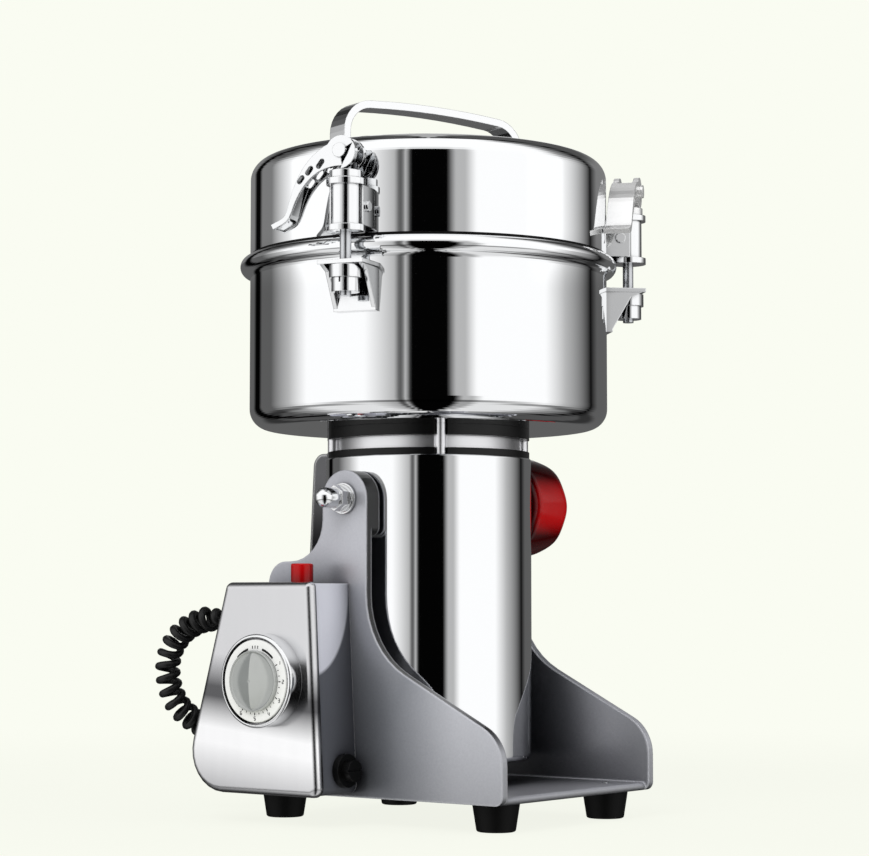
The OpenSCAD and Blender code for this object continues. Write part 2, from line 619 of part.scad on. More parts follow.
stud_in = 13;
module clamp_stud() color("#bcbcbc")
    x_rod(housing_r - stud_in, knob_face + knob_hub + knob_t / 2 - gap, stud_d / 2, pivot_y, pivot_z);

// Motor housing and neck
housing_in = housing_r - housing_wall;
cap_in = 10;
cap_r = housing_r - cap_in;
cap_t = 3;
seat_r = 16;
bearing_r = 14;
bearing_h = 9;
module motor_housing() color("#dcdee0") difference() {
    union() {
        rotate_extrude($fn = 2 * fine) polygon(rounded([
            [cap_r - foot_wall, house_low_z, 0], [housing_r, house_low_z, housing_edge_r], [housing_r, house_top_z, over],
            [bearing_r + fit, house_top_z, 0], [bearing_r + fit, house_top_z - bearing_h, 0],
            [seat_r + housing_wall, house_top_z - bearing_h, 0], [seat_r + housing_wall, house_top_z - cap_t, 0],
            [housing_in, house_top_z - cap_t, 0], [housing_in, house_low_z + cap_t / 2, 0],
            [cap_r - foot_wall, house_low_z + cap_t / 2, 0]], round_steps));
    }
    x_rod(-housing_r - over, -housing_r + foot_wall, bolt_d / 2 + fit, pivot_y, pivot_z);
    x_rod(housing_r - foot_wall, housing_r + over, stud_d / 2 + fit, pivot_y, pivot_z);
    y_rod(housing_in - foot_wall, housing_r + over, gland_r / 2, 0, motor_gland_z);
}
vents = 12;
vent_l = 18;
vent_w = 5;
cap_z = house_low_z + cap_t / 2 + seat_gap;
module bottom_cap() color("#2a2a2c") translate([0, 0, cap_z]) difference() {
    union() {
        cylinder(h = cap_t, r = housing_in - gap, $fn = 2 * fine);
        cylinder(h = cap_t + bearing_h, r = seat_r, $fn = fine);
    }
    translate([0, 0, cap_t]) cylinder(h = bearing_h + over, r = bearing_r + fit, $fn = fine);
    for (i = [0:vents - 1]) rotate(360 * i / vents) translate([seat_r + vent_w, -vent_w / 2, -over])
        cube([vent_l, vent_w, cap_t + 2 * over]);
}
neck_r = housing_r - neck_in;
spacer_r = neck_r - spacer_in;
neck_bore_r = neck_r - neck_w;
// The rings are notched round the posts
module neck_rings() color("#0e0e0e") difference() {
    union() {
        translate([0, 0, house_top_z]) tube(ring_low_h, neck_r, neck_bore_r);
        translate([0, 0, spacer_top]) tube(ring_top_h, neck_r, neck_bore_r);
    }
    post_holes();
    for (i = [0:3]) rotate(post_angle + 90 * i) translate([post_at, -post_d / 2 - seat_gap, house_top_z - over])
        cube([post_d, post_d + 2 * seat_gap, bowl_z - house_top_z + 2 * over]);
}
module neck_spacer() color("#dadada") difference() {
    translate([0, 0, ring_low_top]) tube(spacer_h, spacer_r, neck_bore_r);
    post_holes();
}
post_angle = 45;
post_at = neck_r - post_d / 2;
module each_post() for (i = [0:3]) rotate(post_angle + 90 * i) translate([post_at, 0, house_top_z]) children();
module neck_posts() color("#c4c6c8") each_post() cylinder(h = bowl_z - house_top_z, r = post_d / 2, $fn = fine);
module post_holes() each_post() translate([0, 0, -over])
    cylinder(h = bowl_z - house_top_z + 2 * over, r = post_d / 2 + seat_gap, $fn = fine);

// Pivots
pad_out = arm_in - head_boss - gap;
module pivot_pads() color("#b8babc") difference() {
    both_sides() x_rod(housing_in - foot_wall, pad_out, pad_d / 2, pivot_y, pivot_z);
    translate([0, 0, pivot_z - pad_d]) cylinder(h = 2 * pad_d, r = housing_r + seat_gap / 2, $fn = 2 * fine);
    x_rod(-arm_x, 0, bolt_d / 2 + fit, pivot_y, pivot_z);
    x_rod(0, arm_x, stud_d / 2 + fit, pivot_y, pivot_z);
}
washer_t = 1.6;
washer_r = 9;
jam_h = 6;
jam_r = 7.5;
dome_h = 8;
dome_r = 5.9;
bolt_head_in = 8.5;
bolt_end = arm_x + gap + 2 * washer_t + jam_h + dome_h / 2;
module pivot_bolt() color("#c8cacc") {
    x_rod(-bolt_end, -housing_r + foot_wall, bolt_d / 2, pivot_y, pivot_z);
    x_rod(-housing_r + foot_wall - gap, -housing_r + bolt_head_in + gap, bolt_d - over, pivot_y, pivot_z);
}
module cap_nut() color("#dfe1e3") difference() {
    union() {
        x_rod(-arm_x - gap - washer_t, -arm_x - gap, washer_r, pivot_y, pivot_z);
        x_rod(-arm_x - gap - 2 * washer_t, -arm_x - gap - washer_t, washer_r - over, pivot_y, pivot_z);
        translate([-arm_x - gap - 2 * washer_t, pivot_y, pivot_z]) rotate([0, -90, 0]) {
            cylinder(h = jam_h, r = jam_r, $fn = 6);
            translate([0, 0, jam_h]) cylinder(h = dome_h, r = dome_r, $fn = fine);
            translate([0, 0, jam_h + dome_h]) sphere(r = dome_r, $fn = fine);
        }
    }
    x_rod(-bolt_end - gap, -arm_x + over, bolt_d / 2 + seat_gap, pivot_y, pivot_z);
}

// Inside the motor
core_r = housing_r - core_gap;
armature_r = core_r - core_depth;
core_up = 52;
core_low = house_low_z + core_up;
core_top = core_low + core_h;
air_gap = 0.8;
winding_h = 13;
commutator_r = 16;
commutator_h = 18;
commutator_up = 5;
commutator_z = core_top + winding_h + commutator_up;
core_wall = 7;
pole_half = 50;
half_turn = 180;
module field_core() color("#6d7076") translate([0, 0, core_low]) difference() {
    cylinder(h = core_h, r = core_r, $fn = 2 * fine);
    translate([0, 0, -over]) cylinder(h = core_h + 2 * over, r = armature_r + air_gap, $fn = 2 * fine);
    for (s = [0, half_turn]) rotate(s) intersection() {
        translate([0, 0, -over]) tube(core_h + 2 * over, core_r - core_wall, armature_r - over);
        translate([0, 0, -2 * over]) linear_extrude(core_h + 4 * over)
            polygon(concat([[0, 0]], arc([0, 0], 2 * core_r, pole_half, half_turn - pole_half, round_steps)));
    }
}
core_spacer = 4;
module field_windings() color("#b5672c") for (z = [core_low - winding_h, core_top]) translate([0, 0, z])
    rotate_extrude($fn = 2 * fine) polygon(rounded([
        [armature_r + core_spacer, 0, core_spacer], [core_r - core_spacer, 0, core_spacer],
        [core_r - core_spacer, winding_h, core_spacer], [armature_r + core_spacer, winding_h, core_spacer]], round_steps));
module bearings() color("#aeb2b6") {
    translate([0, 0, cap_z + cap_t]) tube(bearing_h - seat_gap, bearing_r, shaft_r + fit);
    translate([0, 0, house_top_z - bearing_h]) tube(bearing_h, bearing_r, shaft_r + fit);
}
brush_w = 8;
brush_h = 12;
holder_w = 12;
holder_h = 16;
brush_angle = 90;
module brush_holders() for (a = [brush_angle, -brush_angle]) rotate(a) {
    color("#7a5a30") difference() {
        translate([commutator_r + 2 * over, -holder_w / 2, commutator_z])
            cube([housing_in - commutator_r - 4 * over, holder_w, holder_h]);
        translate([0, -brush_w / 2 - fit, commutator_z + (holder_h - brush_h) / 2 - fit])
            cube([housing_in - foot_wall, brush_w + 2 * fit, brush_h + 2 * fit]);
    }
    color("#303030") translate([commutator_r + gap, -brush_w / 2, commutator_z + (holder_h - brush_h) / 2])
        cube([core_r - commutator_r - foot_wall, brush_w, brush_h]);
}
module motor_shaft() color("#c2c4c6") {
    translate([0, 0, cap_z + cap_t + gap])
        cylinder(h = blade_top - cap_z - cap_t - gap + foot_wall, r = shaft_r, $fn = fine);
}
slot_w = 3;
slot_d = 5;
module armature() color("#8a5a34") difference() {
    union() {
        translate([0, 0, core_low]) cylinder(h = core_h, r = armature_r, $fn = 2 * fine);
        translate([0, 0, core_low - winding_h + over])
            cylinder(h = core_h + 2 * winding_h - 2 * over, r = armature_r - slot_d, $fn = 2 * fine);
    }
    translate([0, 0, core_low - winding_h]) cylinder(h = core_h + 2 * winding_h, r = shaft_r + fit, $fn = fine);
    for (i = [0:armature_slots - 1]) rotate(360 * i / armature_slots)
        translate([armature_r - slot_d, -slot_w / 2, core_low - over]) cube([slot_d + over, slot_w, core_h + 2 * over]);
}
module commutator() color("#c07840") difference() {
    translate([0, 0, commutator_z]) cylinder(h = commutator_h, r = commutator_r, $fn = 2 * fine);
    translate([0, 0, commutator_z - over]) cylinder(h = commutator_h + 2 * over, r = shaft_r + fit, $fn = fine);
    for (i = [0:armature_slots - 1]) rotate(360 * i / armature_slots)
        translate([commutator_r - over, -gap, commutator_z - over]) cube([2 * over, 2 * gap, commutator_h + 2 * over]);
}
fan_up = 3;
fan_z = cap_z + cap_t + bearing_h + fan_up;
fan_h = 14;
fan_r = core_r;
fan_hub_r = 12;
fan_blade_t = 1.6;
module cooling_fan() color("#3a3c40") translate([0, 0, fan_z]) difference() {
    union() {
        cylinder(h = fan_blade_t, r = fan_r, $fn = 2 * fine);
        cylinder(h = fan_h, r = fan_hub_r, $fn = fine);
        for (i = [0:fan_blades - 1]) rotate(360 * i / fan_blades) translate([fan_hub_r - over, -fan_blade_t / 2, 0])
            cube([fan_r - fan_hub_r, fan_blade_t, fan_h]);
    }
    translate([0, 0, -over]) cylinder(h = fan_h + 2 * over, r = shaft_r + fit, $fn = fine);
}

// Bowl, seal and blades
bowl_in = bowl_r - bowl_wall;
bowl_floor = bowl_z + bowl_wall;
rim_mid_z = rim_z - rim_r + over / 2;
rim_mid_r = bowl_r + over / 2;
rim_blend = 4;
blend_end = 105;
roll_from = -50;
roll_to = 62;
seat_w = 9;
module bowl() color("#e2e4e6") difference() {
    rotate_extrude($fn = 2 * fine) polygon(concat(
        arc([bowl_r - bowl_corner_r, bowl_z + bowl_corner_r], bowl_corner_r, -90, 0, 2 * round_steps),
        arc([bowl_r + rim_blend, rim_mid_z - rim_r - rim_blend / 2], rim_blend, half_turn, blend_end, round_steps),
        arc([rim_mid_r, rim_mid_z], rim_r, roll_from, roll_to, 2 * round_steps),
        [[rim_mid_r, rim_z], [bowl_in - seat_w / 4, rim_z], [bowl_in - seat_w / 4, rim_z - bowl_wall],
            [bowl_in, rim_z - 2 * bowl_wall]],
        arc([bowl_r - bowl_corner_r, bowl_z + bowl_corner_r], bowl_corner_r - bowl_wall, 0, -90, 2 * round_steps),
        [[seal_r - over, bowl_floor], [seal_r - over, bowl_z]]));
    translate([0, 0, bowl_z - over]) cylinder(h = bowl_wall + 2 * over, r = seal_r - over, $fn = fine);
}
seal_r = 20;
seal_h = 9;
seal_lip = 3;
module shaft_seal() color("#2b2b2b") difference() {
    rotate_extrude($fn = fine) polygon(rounded([
        [shaft_r + fit, house_top_z + seat_gap, 0], [seal_r - 2 * over, house_top_z + seat_gap, 0],
        [seal_r - 2 * over, bowl_floor + seat_gap, 0], [seal_r + seal_lip, bowl_floor + seat_gap, 0],
        [seal_r + seal_lip, bowl_floor + seal_lip, over], [shaft_r + seal_lip, bowl_floor + seal_h, over],
        [shaft_r + fit, bowl_floor + seal_h, 0]], round_steps));
}
blade_r = bowl_r - blade_gap;
spacer_blade = 5;
stack_z = bowl_floor + seal_h + over;
blade_step = blade_t + spacer_blade;
blade_top = stack_z + 3 * blade_step;
stack_r = 11;
function blade_z(k) = stack_z + spacer_blade + k * blade_step;
tip_share = 0.35;
bevel = 5;
module blade(k, turn) translate([0, 0, blade_z(k)]) rotate(turn) difference() {
    linear_extrude(blade_t) polygon([for (s = [1, -1]) each [
        [s * blade_r, -s * blade_w * tip_share], [s * (blade_r - bevel), s * blade_w * tip_share],
        [s * stack_r, s * blade_w / 2], [-s * stack_r, s * blade_w / 2]]]);
    translate([0, 0, -over]) cylinder(h = blade_t + 2 * over, r = shaft_r + fit, $fn = fine);
}
blade_angle = 60;
module lower_blade() color("#cfd2d4") blade(0, blade_angle);
module middle_blade() color("#cfd2d4") blade(1, 2 * blade_angle);
module upper_blade() color("#cfd2d4") blade(2, 3 * blade_angle);
module blade_spacers() color("#b9bcbe") for (k = [0:2])
    translate([0, 0, blade_z(k) - spacer_blade + seat_gap / 2]) tube(spacer_blade - seat_gap, stack_r, shaft_r + fit);
nut_blade_r = 9;
module blade_nut() color("#c9cbcd") translate([0, 0, blade_top + seat_gap / 2]) difference() {
    cylinder(h = foot_wall + bevel, r = nut_blade_r, $fn = 6);
    translate([0, 0, -over]) cylinder(h = foot_wall + gap + over, r = shaft_r + fit, $fn = fine);
}

// Wiring cover on the back of the motor
wiring_corner = 8;
module wiring_cover() color("#c0c2c4") difference() {
    side_plate(-wiring_half_w, 2 * wiring_half_w) polygon(rounded([
        [0, wiring_low, 0], [0, wiring_top, 0], [wiring_top_y, wiring_top, wiring_corner],
        [wiring_out, wiring_low, wiring_corner / 2]], round_steps));
    translate([0, 0, wiring_low - over]) cylinder(h = housing_h + wiring_top, r = housing_r + seat_gap / 2, $fn = 2 * fine);
    y_rod(0, wiring_out + over, gland_hole_r, 0, motor_gland_z);
}

// Lid, gasket and handle
module lid() color("#e2e4e6") rotate_extrude($fn = 2 * fine) polygon(concat(
    [[bowl_r - lid_wall, lid_z], [bowl_r, lid_z]],
    arc([bowl_r - lid_corner_r, lid_top - lid_corner_r], lid_corner_r, 0, 90, 2 * round_steps),
    [[0, lid_top], [0, lid_top - lid_wall]],
    arc([bowl_r - lid_corner_r, lid_top - lid_corner_r], lid_corner_r - lid_wall, 90, 0, 2 * round_steps)));
module lid_gasket() color("#1b1b1b") translate([0, 0, rim_z]) tube(gasket_t, bowl_r - gap, bowl_r - seat_w / 2);
handle_angle = 164;
crown = 1.8;
crown_x = handle_l / 2 - handle_r;
crown_r = (crown_x * crown_x + crown * crown) / (2 * crown);
crown_a = asin(crown_x / crown_r);
function handle_side(inset, foot) = let (x = handle_l / 2 - inset, z = handle_h - crown - handle_r, r = handle_r - inset)
    concat([[x, foot]], arc([crown_x, z], r, 0, 90 - crown_a, round_steps),
        arc([0, handle_h - crown_r], crown_r - inset, 90 - crown_a, 90 + crown_a, round_steps),
        arc([-crown_x, z], r, 90 + crown_a, half_turn, round_steps), [[-x, foot]]);
pad_l = 12;
pad_t = 2.5;
module lid_handle() color("#d9dbdd") translate([0, 0, lid_top]) rotate(handle_angle) {
    translate([0, handle_w / 2, 0]) rotate([90, 0, 0]) linear_extrude(handle_w) difference() {
        polygon(handle_side(0, 0));
        polygon(handle_side(handle_t, -over));
    }
    for (s = [-1, 1]) translate([s * (handle_l / 2 - pad_l / 2) - pad_l / 2, -handle_w / 2, 0])
        cube([pad_l, handle_w, pad_t]);
}

// Latches: each is drawn with x out from the bowl, y along its rim
latch_r = bowl_r + latch_out;
latch_angle = 196;
module at_latch(k) rotate(latch_angle + 120 * k) children();
lever_lift_angles = [0, 12, 0];
module at_rod(k) at_latch(k) translate([latch_r, 0, 0]) rotate(lever_angles[k]) children();
pin_z = rim_z + pin_h;
collar_z = pin_z - cam_r - gap;
collar_low = collar_z - collar_h;
barrel_top = collar_low - gap;
barrel_low = rim_z + gap;
flange_t = 3.6;
side_t = 1.8;
side_half = 10.4;
side_out = latch_r - over;
block_reach = 3;
block_out = bowl_r + block_reach;
bracket_z = barrel_low + flange_t;
bracket_top = barrel_top - flange_t;
mount_screw_in = 7;
mount_screw_x = latch_r - mount_screw_in;
mount_screw_z = (bracket_z + bracket_top) / 2;
mount_screw_r = 3;
mount_screw_h = 1.6;
// A sheet bracket on the lid holds the barrel between its two cheeks
module latch_mount() difference() {
    union() {
        translate([latch_r, 0, barrel_low]) {
            cylinder(h = barrel_top - barrel_low, r = barrel_d / 2, $fn = fine);
            cylinder(h = flange_t, r = flange_d / 2, $fn = fine);
        }
        translate([latch_r, 0, barrel_top - flange_t]) cylinder(h = flange_t, r = flange_d / 2, $fn = fine);
        translate([0, 0, bracket_z]) linear_extrude(bracket_top - bracket_z) difference() {
            translate([bowl_r - side_t, -side_half]) square([side_out - bowl_r + side_t, 2 * side_half]);
            translate([block_out, -side_half + side_t]) square([latch_r, 2 * side_half - 2 * side_t]);
        }
        for (s = [-1, 1]) translate([mount_screw_x, s * (side_half - side_t / 2), mount_screw_z]) rotate([-s * 90, 0, 0])
            cylinder(h = mount_screw_h + side_t / 2, r = mount_screw_r, $fn = fine);
    }
    translate([0, 0, rim_z]) cylinder(h = lid_h, r = bowl_r + fit / 2, $fn = 4 * fine);
    translate([latch_r, 0, rim_z]) cylinder(h = lid_h, r = rod_d / 2 + fit, $fn = fine);
}
module latch_mounts() color("#d2d4d6") for (k = [0:2]) at_latch(k) latch_mount();
module latch_collar(k) color("#dedede") at_rod(k) translate([0, 0, collar_low])
    tube(collar_h, collar_d / 2, rod_d / 2 + fit);
nut_z = rim_z - keeper_drop - keeper_t - gap;
nut_low = nut_z - nut_h;
eye_r = 5.5;
eye_half = 4;
rod_low = nut_low - 2 * over;
module latch_rod(k) color("#cdd0d2") at_rod(k) difference() {
    union() {
        translate([0, 0, rod_low]) cylinder(h = pin_z - rod_low, r = rod_d / 2, $fn = fine);
        translate([-eye_half, 0, pin_z]) rotate([0, 90, 0]) cylinder(h = 2 * eye_half, r = eye_r, $fn = fine);
    }
    translate([-eye_half - over, 0, pin_z]) rotate([0, 90, 0])
        cylinder(h = 2 * eye_half + 2 * over, r = pin_d / 2 + fit, $fn = fine);
}
// The lever's side view is drawn as [along the rim, up] from its pin
cam_sweep = 120;
cam_steps = 24;
head_back_r = 8.7;
head_from = 28;
head_to = 270;
function cam_at(a) = cam_r - cam_drop * a / cam_sweep;
cam_side = [for (i = [0:cam_steps]) let (a = cam_sweep * i / cam_steps) cam_at(a) * [cos(a - 90), sin(a - 90)]];
lever_reach = 42;
lever_fall = 41;
function lever_spot(s) = [s[0] * lever_reach, s[1] * lever_fall];
arm_bend_shares = [[0, -0.0244], [-0.476, -0.0976], [-0.643, -0.463], [-0.75, -0.805]];
tip_bend_shares = [[-0.75, -0.805], [-0.798, -0.939], [-0.869, -0.932], [-1, -1]];
arm_bend = [for (s = arm_bend_shares) lever_spot(s)];
tip_bend = [for (s = tip_bend_shares) lever_spot(s)];
function bent(b, t) = b[0] * pow(1 - t, 3) + 3 * b[1] * t * pow(1 - t, 2) + 3 * b[2] * t * t * (1 - t)
    + b[3] * t * t * t;
function bent_way(b, t) = unit(3 * (b[1] - b[0]) * pow(1 - t, 2) + 6 * (b[2] - b[1]) * t * (1 - t)
    + 3 * (b[3] - b[2]) * t * t);
function side_of(b, t, w) = let (d = bent_way(b, t)) bent(b, t) + w * [-d[1], d[0]];
lever_half = 7.6;
lever_thin = 1.5;
// One lever is swung in towards the lid, as far as its end stays clear of the lid's wall
lever_end = lever_reach + lever_thin;
lever_diag = norm([lever_w / 2, lever_end]);
lever_room = latch_r * latch_r + lever_diag * lever_diag - (bowl_r + gap) * (bowl_r + gap);
lever_swing_angle = atan2(lever_end, lever_w / 2) - acos(lever_room / (2 * latch_r) / lever_diag);
lever_angles = [0, -lever_swing_angle, 0];
echo(lever_swing_angle = lever_swing_angle);
taper_power = 1.6;
function lever_at(t) = lever_thin + (lever_half - lever_thin) * pow(1 - t, taper_power);
arm_steps = 14;
tip_steps = 6;
function lever_edge(s, from) = concat(
    [for (i = [from:arm_steps]) side_of(arm_bend, i / arm_steps, s * lever_at(i / arm_steps))],
    [for (i = [1:tip_steps]) side_of(tip_bend, i / tip_steps, s * lever_thin)]);
function backwards(p) = [for (i = [len(p) - 1:-1:0]) p[i]];
slot_spot_shares = [[-0.29, -0.166], [-0.452, -0.252], [-0.576, -0.368]];
slot_l = 3.4;
slot_length_shares = [1, 0.88, 0.76];
slot_r = 1.5;
slot_angle = 52;
module lever_side() difference() {
    union() {
        polygon(cam_side);
        polygon(concat([[0, 0]], arc([0, 0], head_back_r, head_from, head_to, 2 * round_steps)));
        polygon(concat(lever_edge(-1, 0), backwards(lever_edge(1, 0))));
    }
    for (i = [0:2]) let (l = slot_l * slot_length_shares[i]) translate(lever_spot(slot_spot_shares[i])) rotate(slot_angle) {
        translate([-l / 2, -slot_r]) square([l, 2 * slot_r]);
        for (s = [-1, 1]) translate([s * l / 2, 0]) circle(r = slot_r, $fn = fine);
    }
}
fork_half = eye_half + gap;
fork_len = 13;
lever_sheet = 1.7;
channel_half = lever_w / 2 - lever_sheet;
module latch_lever(k) color("#e0e2e4") at_rod(k) translate([0, 0, pin_z]) rotate([-lever_lift_angles[k], 0, 0]) {
    difference() {
        translate([-lever_w / 2, 0, 0]) rotate([90, 0, 90]) linear_extrude(lever_w) lever_side();
        translate([-fork_half, -fork_len, -fork_len]) cube([2 * fork_half, 2 * fork_len, 2 * fork_len]);
        translate([-channel_half, lever_sheet, -lever_sheet]) rotate([90, 0, 90])
            linear_extrude(2 * channel_half) difference() {
                polygon(concat(lever_edge(-1, 0), backwards(lever_edge(1, 0))));
                circle(r = fork_len - over, $fn = fine);
            }
        translate([-lever_w, 0, 0]) rotate([0, 90, 0]) cylinder(h = 2 * lever_w, r = pin_d / 2 + fit, $fn = fine);
    }
    translate([-lever_w / 2 - over, 0, 0]) rotate([0, 90, 0]) cylinder(h = lever_w + 2 * over, r = pin_d / 2, $fn = fine);
    translate([lever_w / 2 + fit, 0, 0]) rotate([0, 90, 0]) cylinder(h = 2 * over, r = pin_d / 2 + over, $fn = fine);
}
module latch_nuts() color("#dadcde") for (k = [0:2]) at_latch(k) translate([latch_r, 0, 0]) difference() {
    union() {
        translate([0, 0, nut_low]) cylinder(h = nut_h - gap, r = nut_d / 2, $fn = fine);
        translate([0, 0, nut_z - nut_h / 2 + gap]) cylinder(h = nut_h / 2 - gap, r = nut_flange_d / 2, $fn = fine);
    }
    translate([0, 0, rod_low]) cylinder(h = 2 * nut_h, r = rod_d / 2 + fit, $fn = fine);
    for (s = [0, half_turn]) rotate(s) translate([nut_d / 2 - over, -over / 2, nut_low + nut_h / 3])
        cube([2 * over, over, nut_h / 4]);
}
keeper_beyond = 8;
keeper_out = latch_r + keeper_beyond;
keeper_top = rim_z - keeper_drop;
cheek_reach = 15;
cheek_out = bowl_r + cheek_reach;
cheek_drop = 5.5;
cheek_foot = bowl_r + keeper_t;
module latch_keeper() difference() {
    union() {
        translate([bowl_r - side_t, -keeper_w / 2, keeper_top - keeper_h])
            cube([side_t + keeper_t + over, keeper_w, keeper_h]);
        translate([bowl_r - side_t, -keeper_w / 2 - side_t / 2, keeper_top - keeper_t])
            cube([keeper_out - bowl_r + side_t, keeper_w + side_t, keeper_t]);
        for (s = [-1, 1]) translate([0, s * (keeper_w / 2 - keeper_t / 2) + keeper_t / 2, 0]) rotate([90, 0, 0])
            linear_extrude(keeper_t) polygon([[bowl_r - side_t, keeper_top], [keeper_out - side_t, keeper_top],
                [keeper_out - side_t, keeper_top - keeper_t], [cheek_out, keeper_top - cheek_drop],
                [cheek_foot, keeper_top - keeper_h], [bowl_r - side_t, keeper_top - keeper_h]]);
    }
    translate([0, 0, keeper_top - 2 * keeper_h]) cylinder(h = 3 * keeper_h, r = bowl_r + fit / 2, $fn = 4 * fine);
    translate([latch_r, 0, keeper_top - 2 * keeper_t]) cylinder(h = 3 * keeper_t, r = rod_d / 2 + gap, $fn = fine);
}
module latch_keepers() color("#d2d4d6") for (k = [0:2]) at_latch(k) latch_keeper();

base_frame();
rubber_feet();
frame_screws();
control_box();
box_cover();
timer_bezel();
dial_plate();
timer_body();
fuse_socket();
breaker_body();
terminal_block();
box_gland();
power_gland();
curly_cord();
timer_knob();
reset_button();
fuse_cap();
fuse_cartridge();
clamp_knob();
clamp_stud();
motor_housing();
bottom_cap();
neck_rings();
neck_spacer();
neck_posts();
pivot_pads();
pivot_bolt();
cap_nut();
field_core();
field_windings();
bearings();
brush_holders();
bowl();
latch_keepers();
latch_nuts();
shaft_seal();
wiring_cover();
motor_gland();
motor_shaft();
armature();
commutator();
cooling_fan();
lower_blade();
middle_blade();
upper_blade();
blade_spacers();
blade_nut();
lid();
lid_gasket();
lid_handle();
latch_mounts();
latch_collar(0);  // latch_collar_1
latch_collar(1);  // latch_collar_2
latch_collar(2);  // latch_collar_3
latch_rod(0);  // latch_rod_1
latch_rod(1);  // latch_rod_2
latch_rod(2);  // latch_rod_3
latch_lever(0);  // latch_lever_1
latch_lever(1);  // latch_lever_2
latch_lever(2);  // latch_lever_3
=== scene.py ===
"""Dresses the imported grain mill: camera, light, finishes and the finer pieces round its frame."""

import json
import math

import bmesh
import bpy
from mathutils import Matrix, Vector


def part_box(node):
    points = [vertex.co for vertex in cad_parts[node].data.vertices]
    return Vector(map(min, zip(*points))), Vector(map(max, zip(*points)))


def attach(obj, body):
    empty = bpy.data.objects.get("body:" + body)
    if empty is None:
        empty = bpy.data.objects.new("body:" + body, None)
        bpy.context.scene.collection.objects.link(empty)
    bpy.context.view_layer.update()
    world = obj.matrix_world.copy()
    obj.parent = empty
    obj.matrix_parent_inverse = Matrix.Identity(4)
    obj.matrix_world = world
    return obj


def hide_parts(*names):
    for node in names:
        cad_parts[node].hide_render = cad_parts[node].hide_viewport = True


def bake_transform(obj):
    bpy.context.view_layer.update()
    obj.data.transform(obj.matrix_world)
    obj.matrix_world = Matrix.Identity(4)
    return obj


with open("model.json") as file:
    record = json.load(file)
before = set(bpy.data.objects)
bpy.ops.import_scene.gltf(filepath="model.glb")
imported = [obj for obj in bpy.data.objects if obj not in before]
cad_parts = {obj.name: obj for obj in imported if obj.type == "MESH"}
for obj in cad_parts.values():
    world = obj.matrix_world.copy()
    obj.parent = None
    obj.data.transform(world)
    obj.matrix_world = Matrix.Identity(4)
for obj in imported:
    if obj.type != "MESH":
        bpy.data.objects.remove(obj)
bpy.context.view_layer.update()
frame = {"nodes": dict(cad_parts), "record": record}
MM = 0.001
SCENE = bpy.context.scene
SCENE.view_settings.view_transform = "Standard"

# Camera: its place in millimetres, its pitch and turn in degrees
CAMERA_AT, CAMERA_PITCH, CAMERA_TURN = (-1145.8, -895.2, 129), 94.077, -52
SENSOR_WIDTH, LENS, SHIFT_X = 36, 99.77, 0.00702
camera_data = bpy.data.cameras.new("camera")
camera_data.sensor_width = SENSOR_WIDTH
camera_data.lens = LENS
camera_data.shift_x = SHIFT_X
camera = bpy.data.objects.new("camera", camera_data)
camera.location = Vector(CAMERA_AT) * MM
camera.rotation_euler = (math.radians(CAMERA_PITCH), 0, math.radians(CAMERA_TURN))
SCENE.collection.objects.link(camera)
SCENE.camera = camera

# Curly cord: its sizes and route are the part's own, in millimetres
FLOOR_TO_PLATE = 16
BOX_LOW, BOX_TOP, BOX_MID_X = 2.3, 122.3, -94
BOX_FRONT_LOW, BOX_FRONT_TOP, BOX_REAR_LOW, BOX_REAR_TOP = -7.5, -1, 97, 62.5
REAR_SLANT = math.atan((BOX_REAR_LOW - BOX_REAR_TOP) / (BOX_TOP - BOX_LOW))
BOX_GLAND_Z = 98
BOX_GLAND_Y = BOX_REAR_TOP + (BOX_TOP - BOX_GLAND_Z) * math.tan(REAR_SLANT)
WIRING_LOW_Y, WIRING_HIGH_Y, WIRING_LOW_Z, WIRING_HIGH_Z = 80.4, 72, 62, 218.3
WIRING_SLANT = math.atan((WIRING_LOW_Y - WIRING_HIGH_Y) / (WIRING_HIGH_Z - WIRING_LOW_Z))
MOTOR_GLAND_Z = 78
MOTOR_GLAND_Y = WIRING_LOW_Y - (MOTOR_GLAND_Z - WIRING_LOW_Z) * math.tan(WIRING_SLANT)
GLAND_H, CORD_SEAT, CORD_D, CURL_D, CURLS, LEAD = 7.5, 4.3, 4.4, 15.6, 28, 7.9
CORD_CLEAR = GLAND_H + CORD_D
BOX_EXIT = (BOX_MID_X, BOX_GLAND_Y, FLOOR_TO_PLATE + BOX_GLAND_Z, REAR_SLANT)
MOTOR_EXIT = (0, MOTOR_GLAND_Y, MOTOR_GLAND_Z, WIRING_SLANT)
ROUTE_SIZE = (-BOX_MID_X, WIRING_LOW_Y, FLOOR_TO_PLATE + BOX_GLAND_Z)
ROUTE_SHARES = (
    (-1, 1.194, 1.0263), (-1.0106, 1.393, 0.9649), (-1.0106, 1.5299, 0.8509), (-1, 1.5547, 0.7105),
    (-0.9362, 1.5299, 0.5789), (-0.7872, 1.4925, 0.4825), (-0.5745, 1.4801, 0.4298),
    (-0.3404, 1.505, 0.4211), (-0.1277, 1.5299, 0.4825), (-0.0106, 1.4677, 0.5965), (0, 1.2935, 0.6754))


def exit_point(x, y, z, slant, out):
    """The point that far out of a gland, square to its slanting wall."""
    return Vector((x, y + out * math.cos(slant), z + out * math.sin(slant)))


ROUTE = ([exit_point(*BOX_EXIT, CORD_SEAT), exit_point(*BOX_EXIT, CORD_CLEAR)]
         + [Vector([a * b for a, b in zip(shares, ROUTE_SIZE)]) for shares in ROUTE_SHARES]
         + [exit_point(*MOTOR_EXIT, CORD_CLEAR), exit_point(*MOTOR_EXIT, CORD_SEAT)])


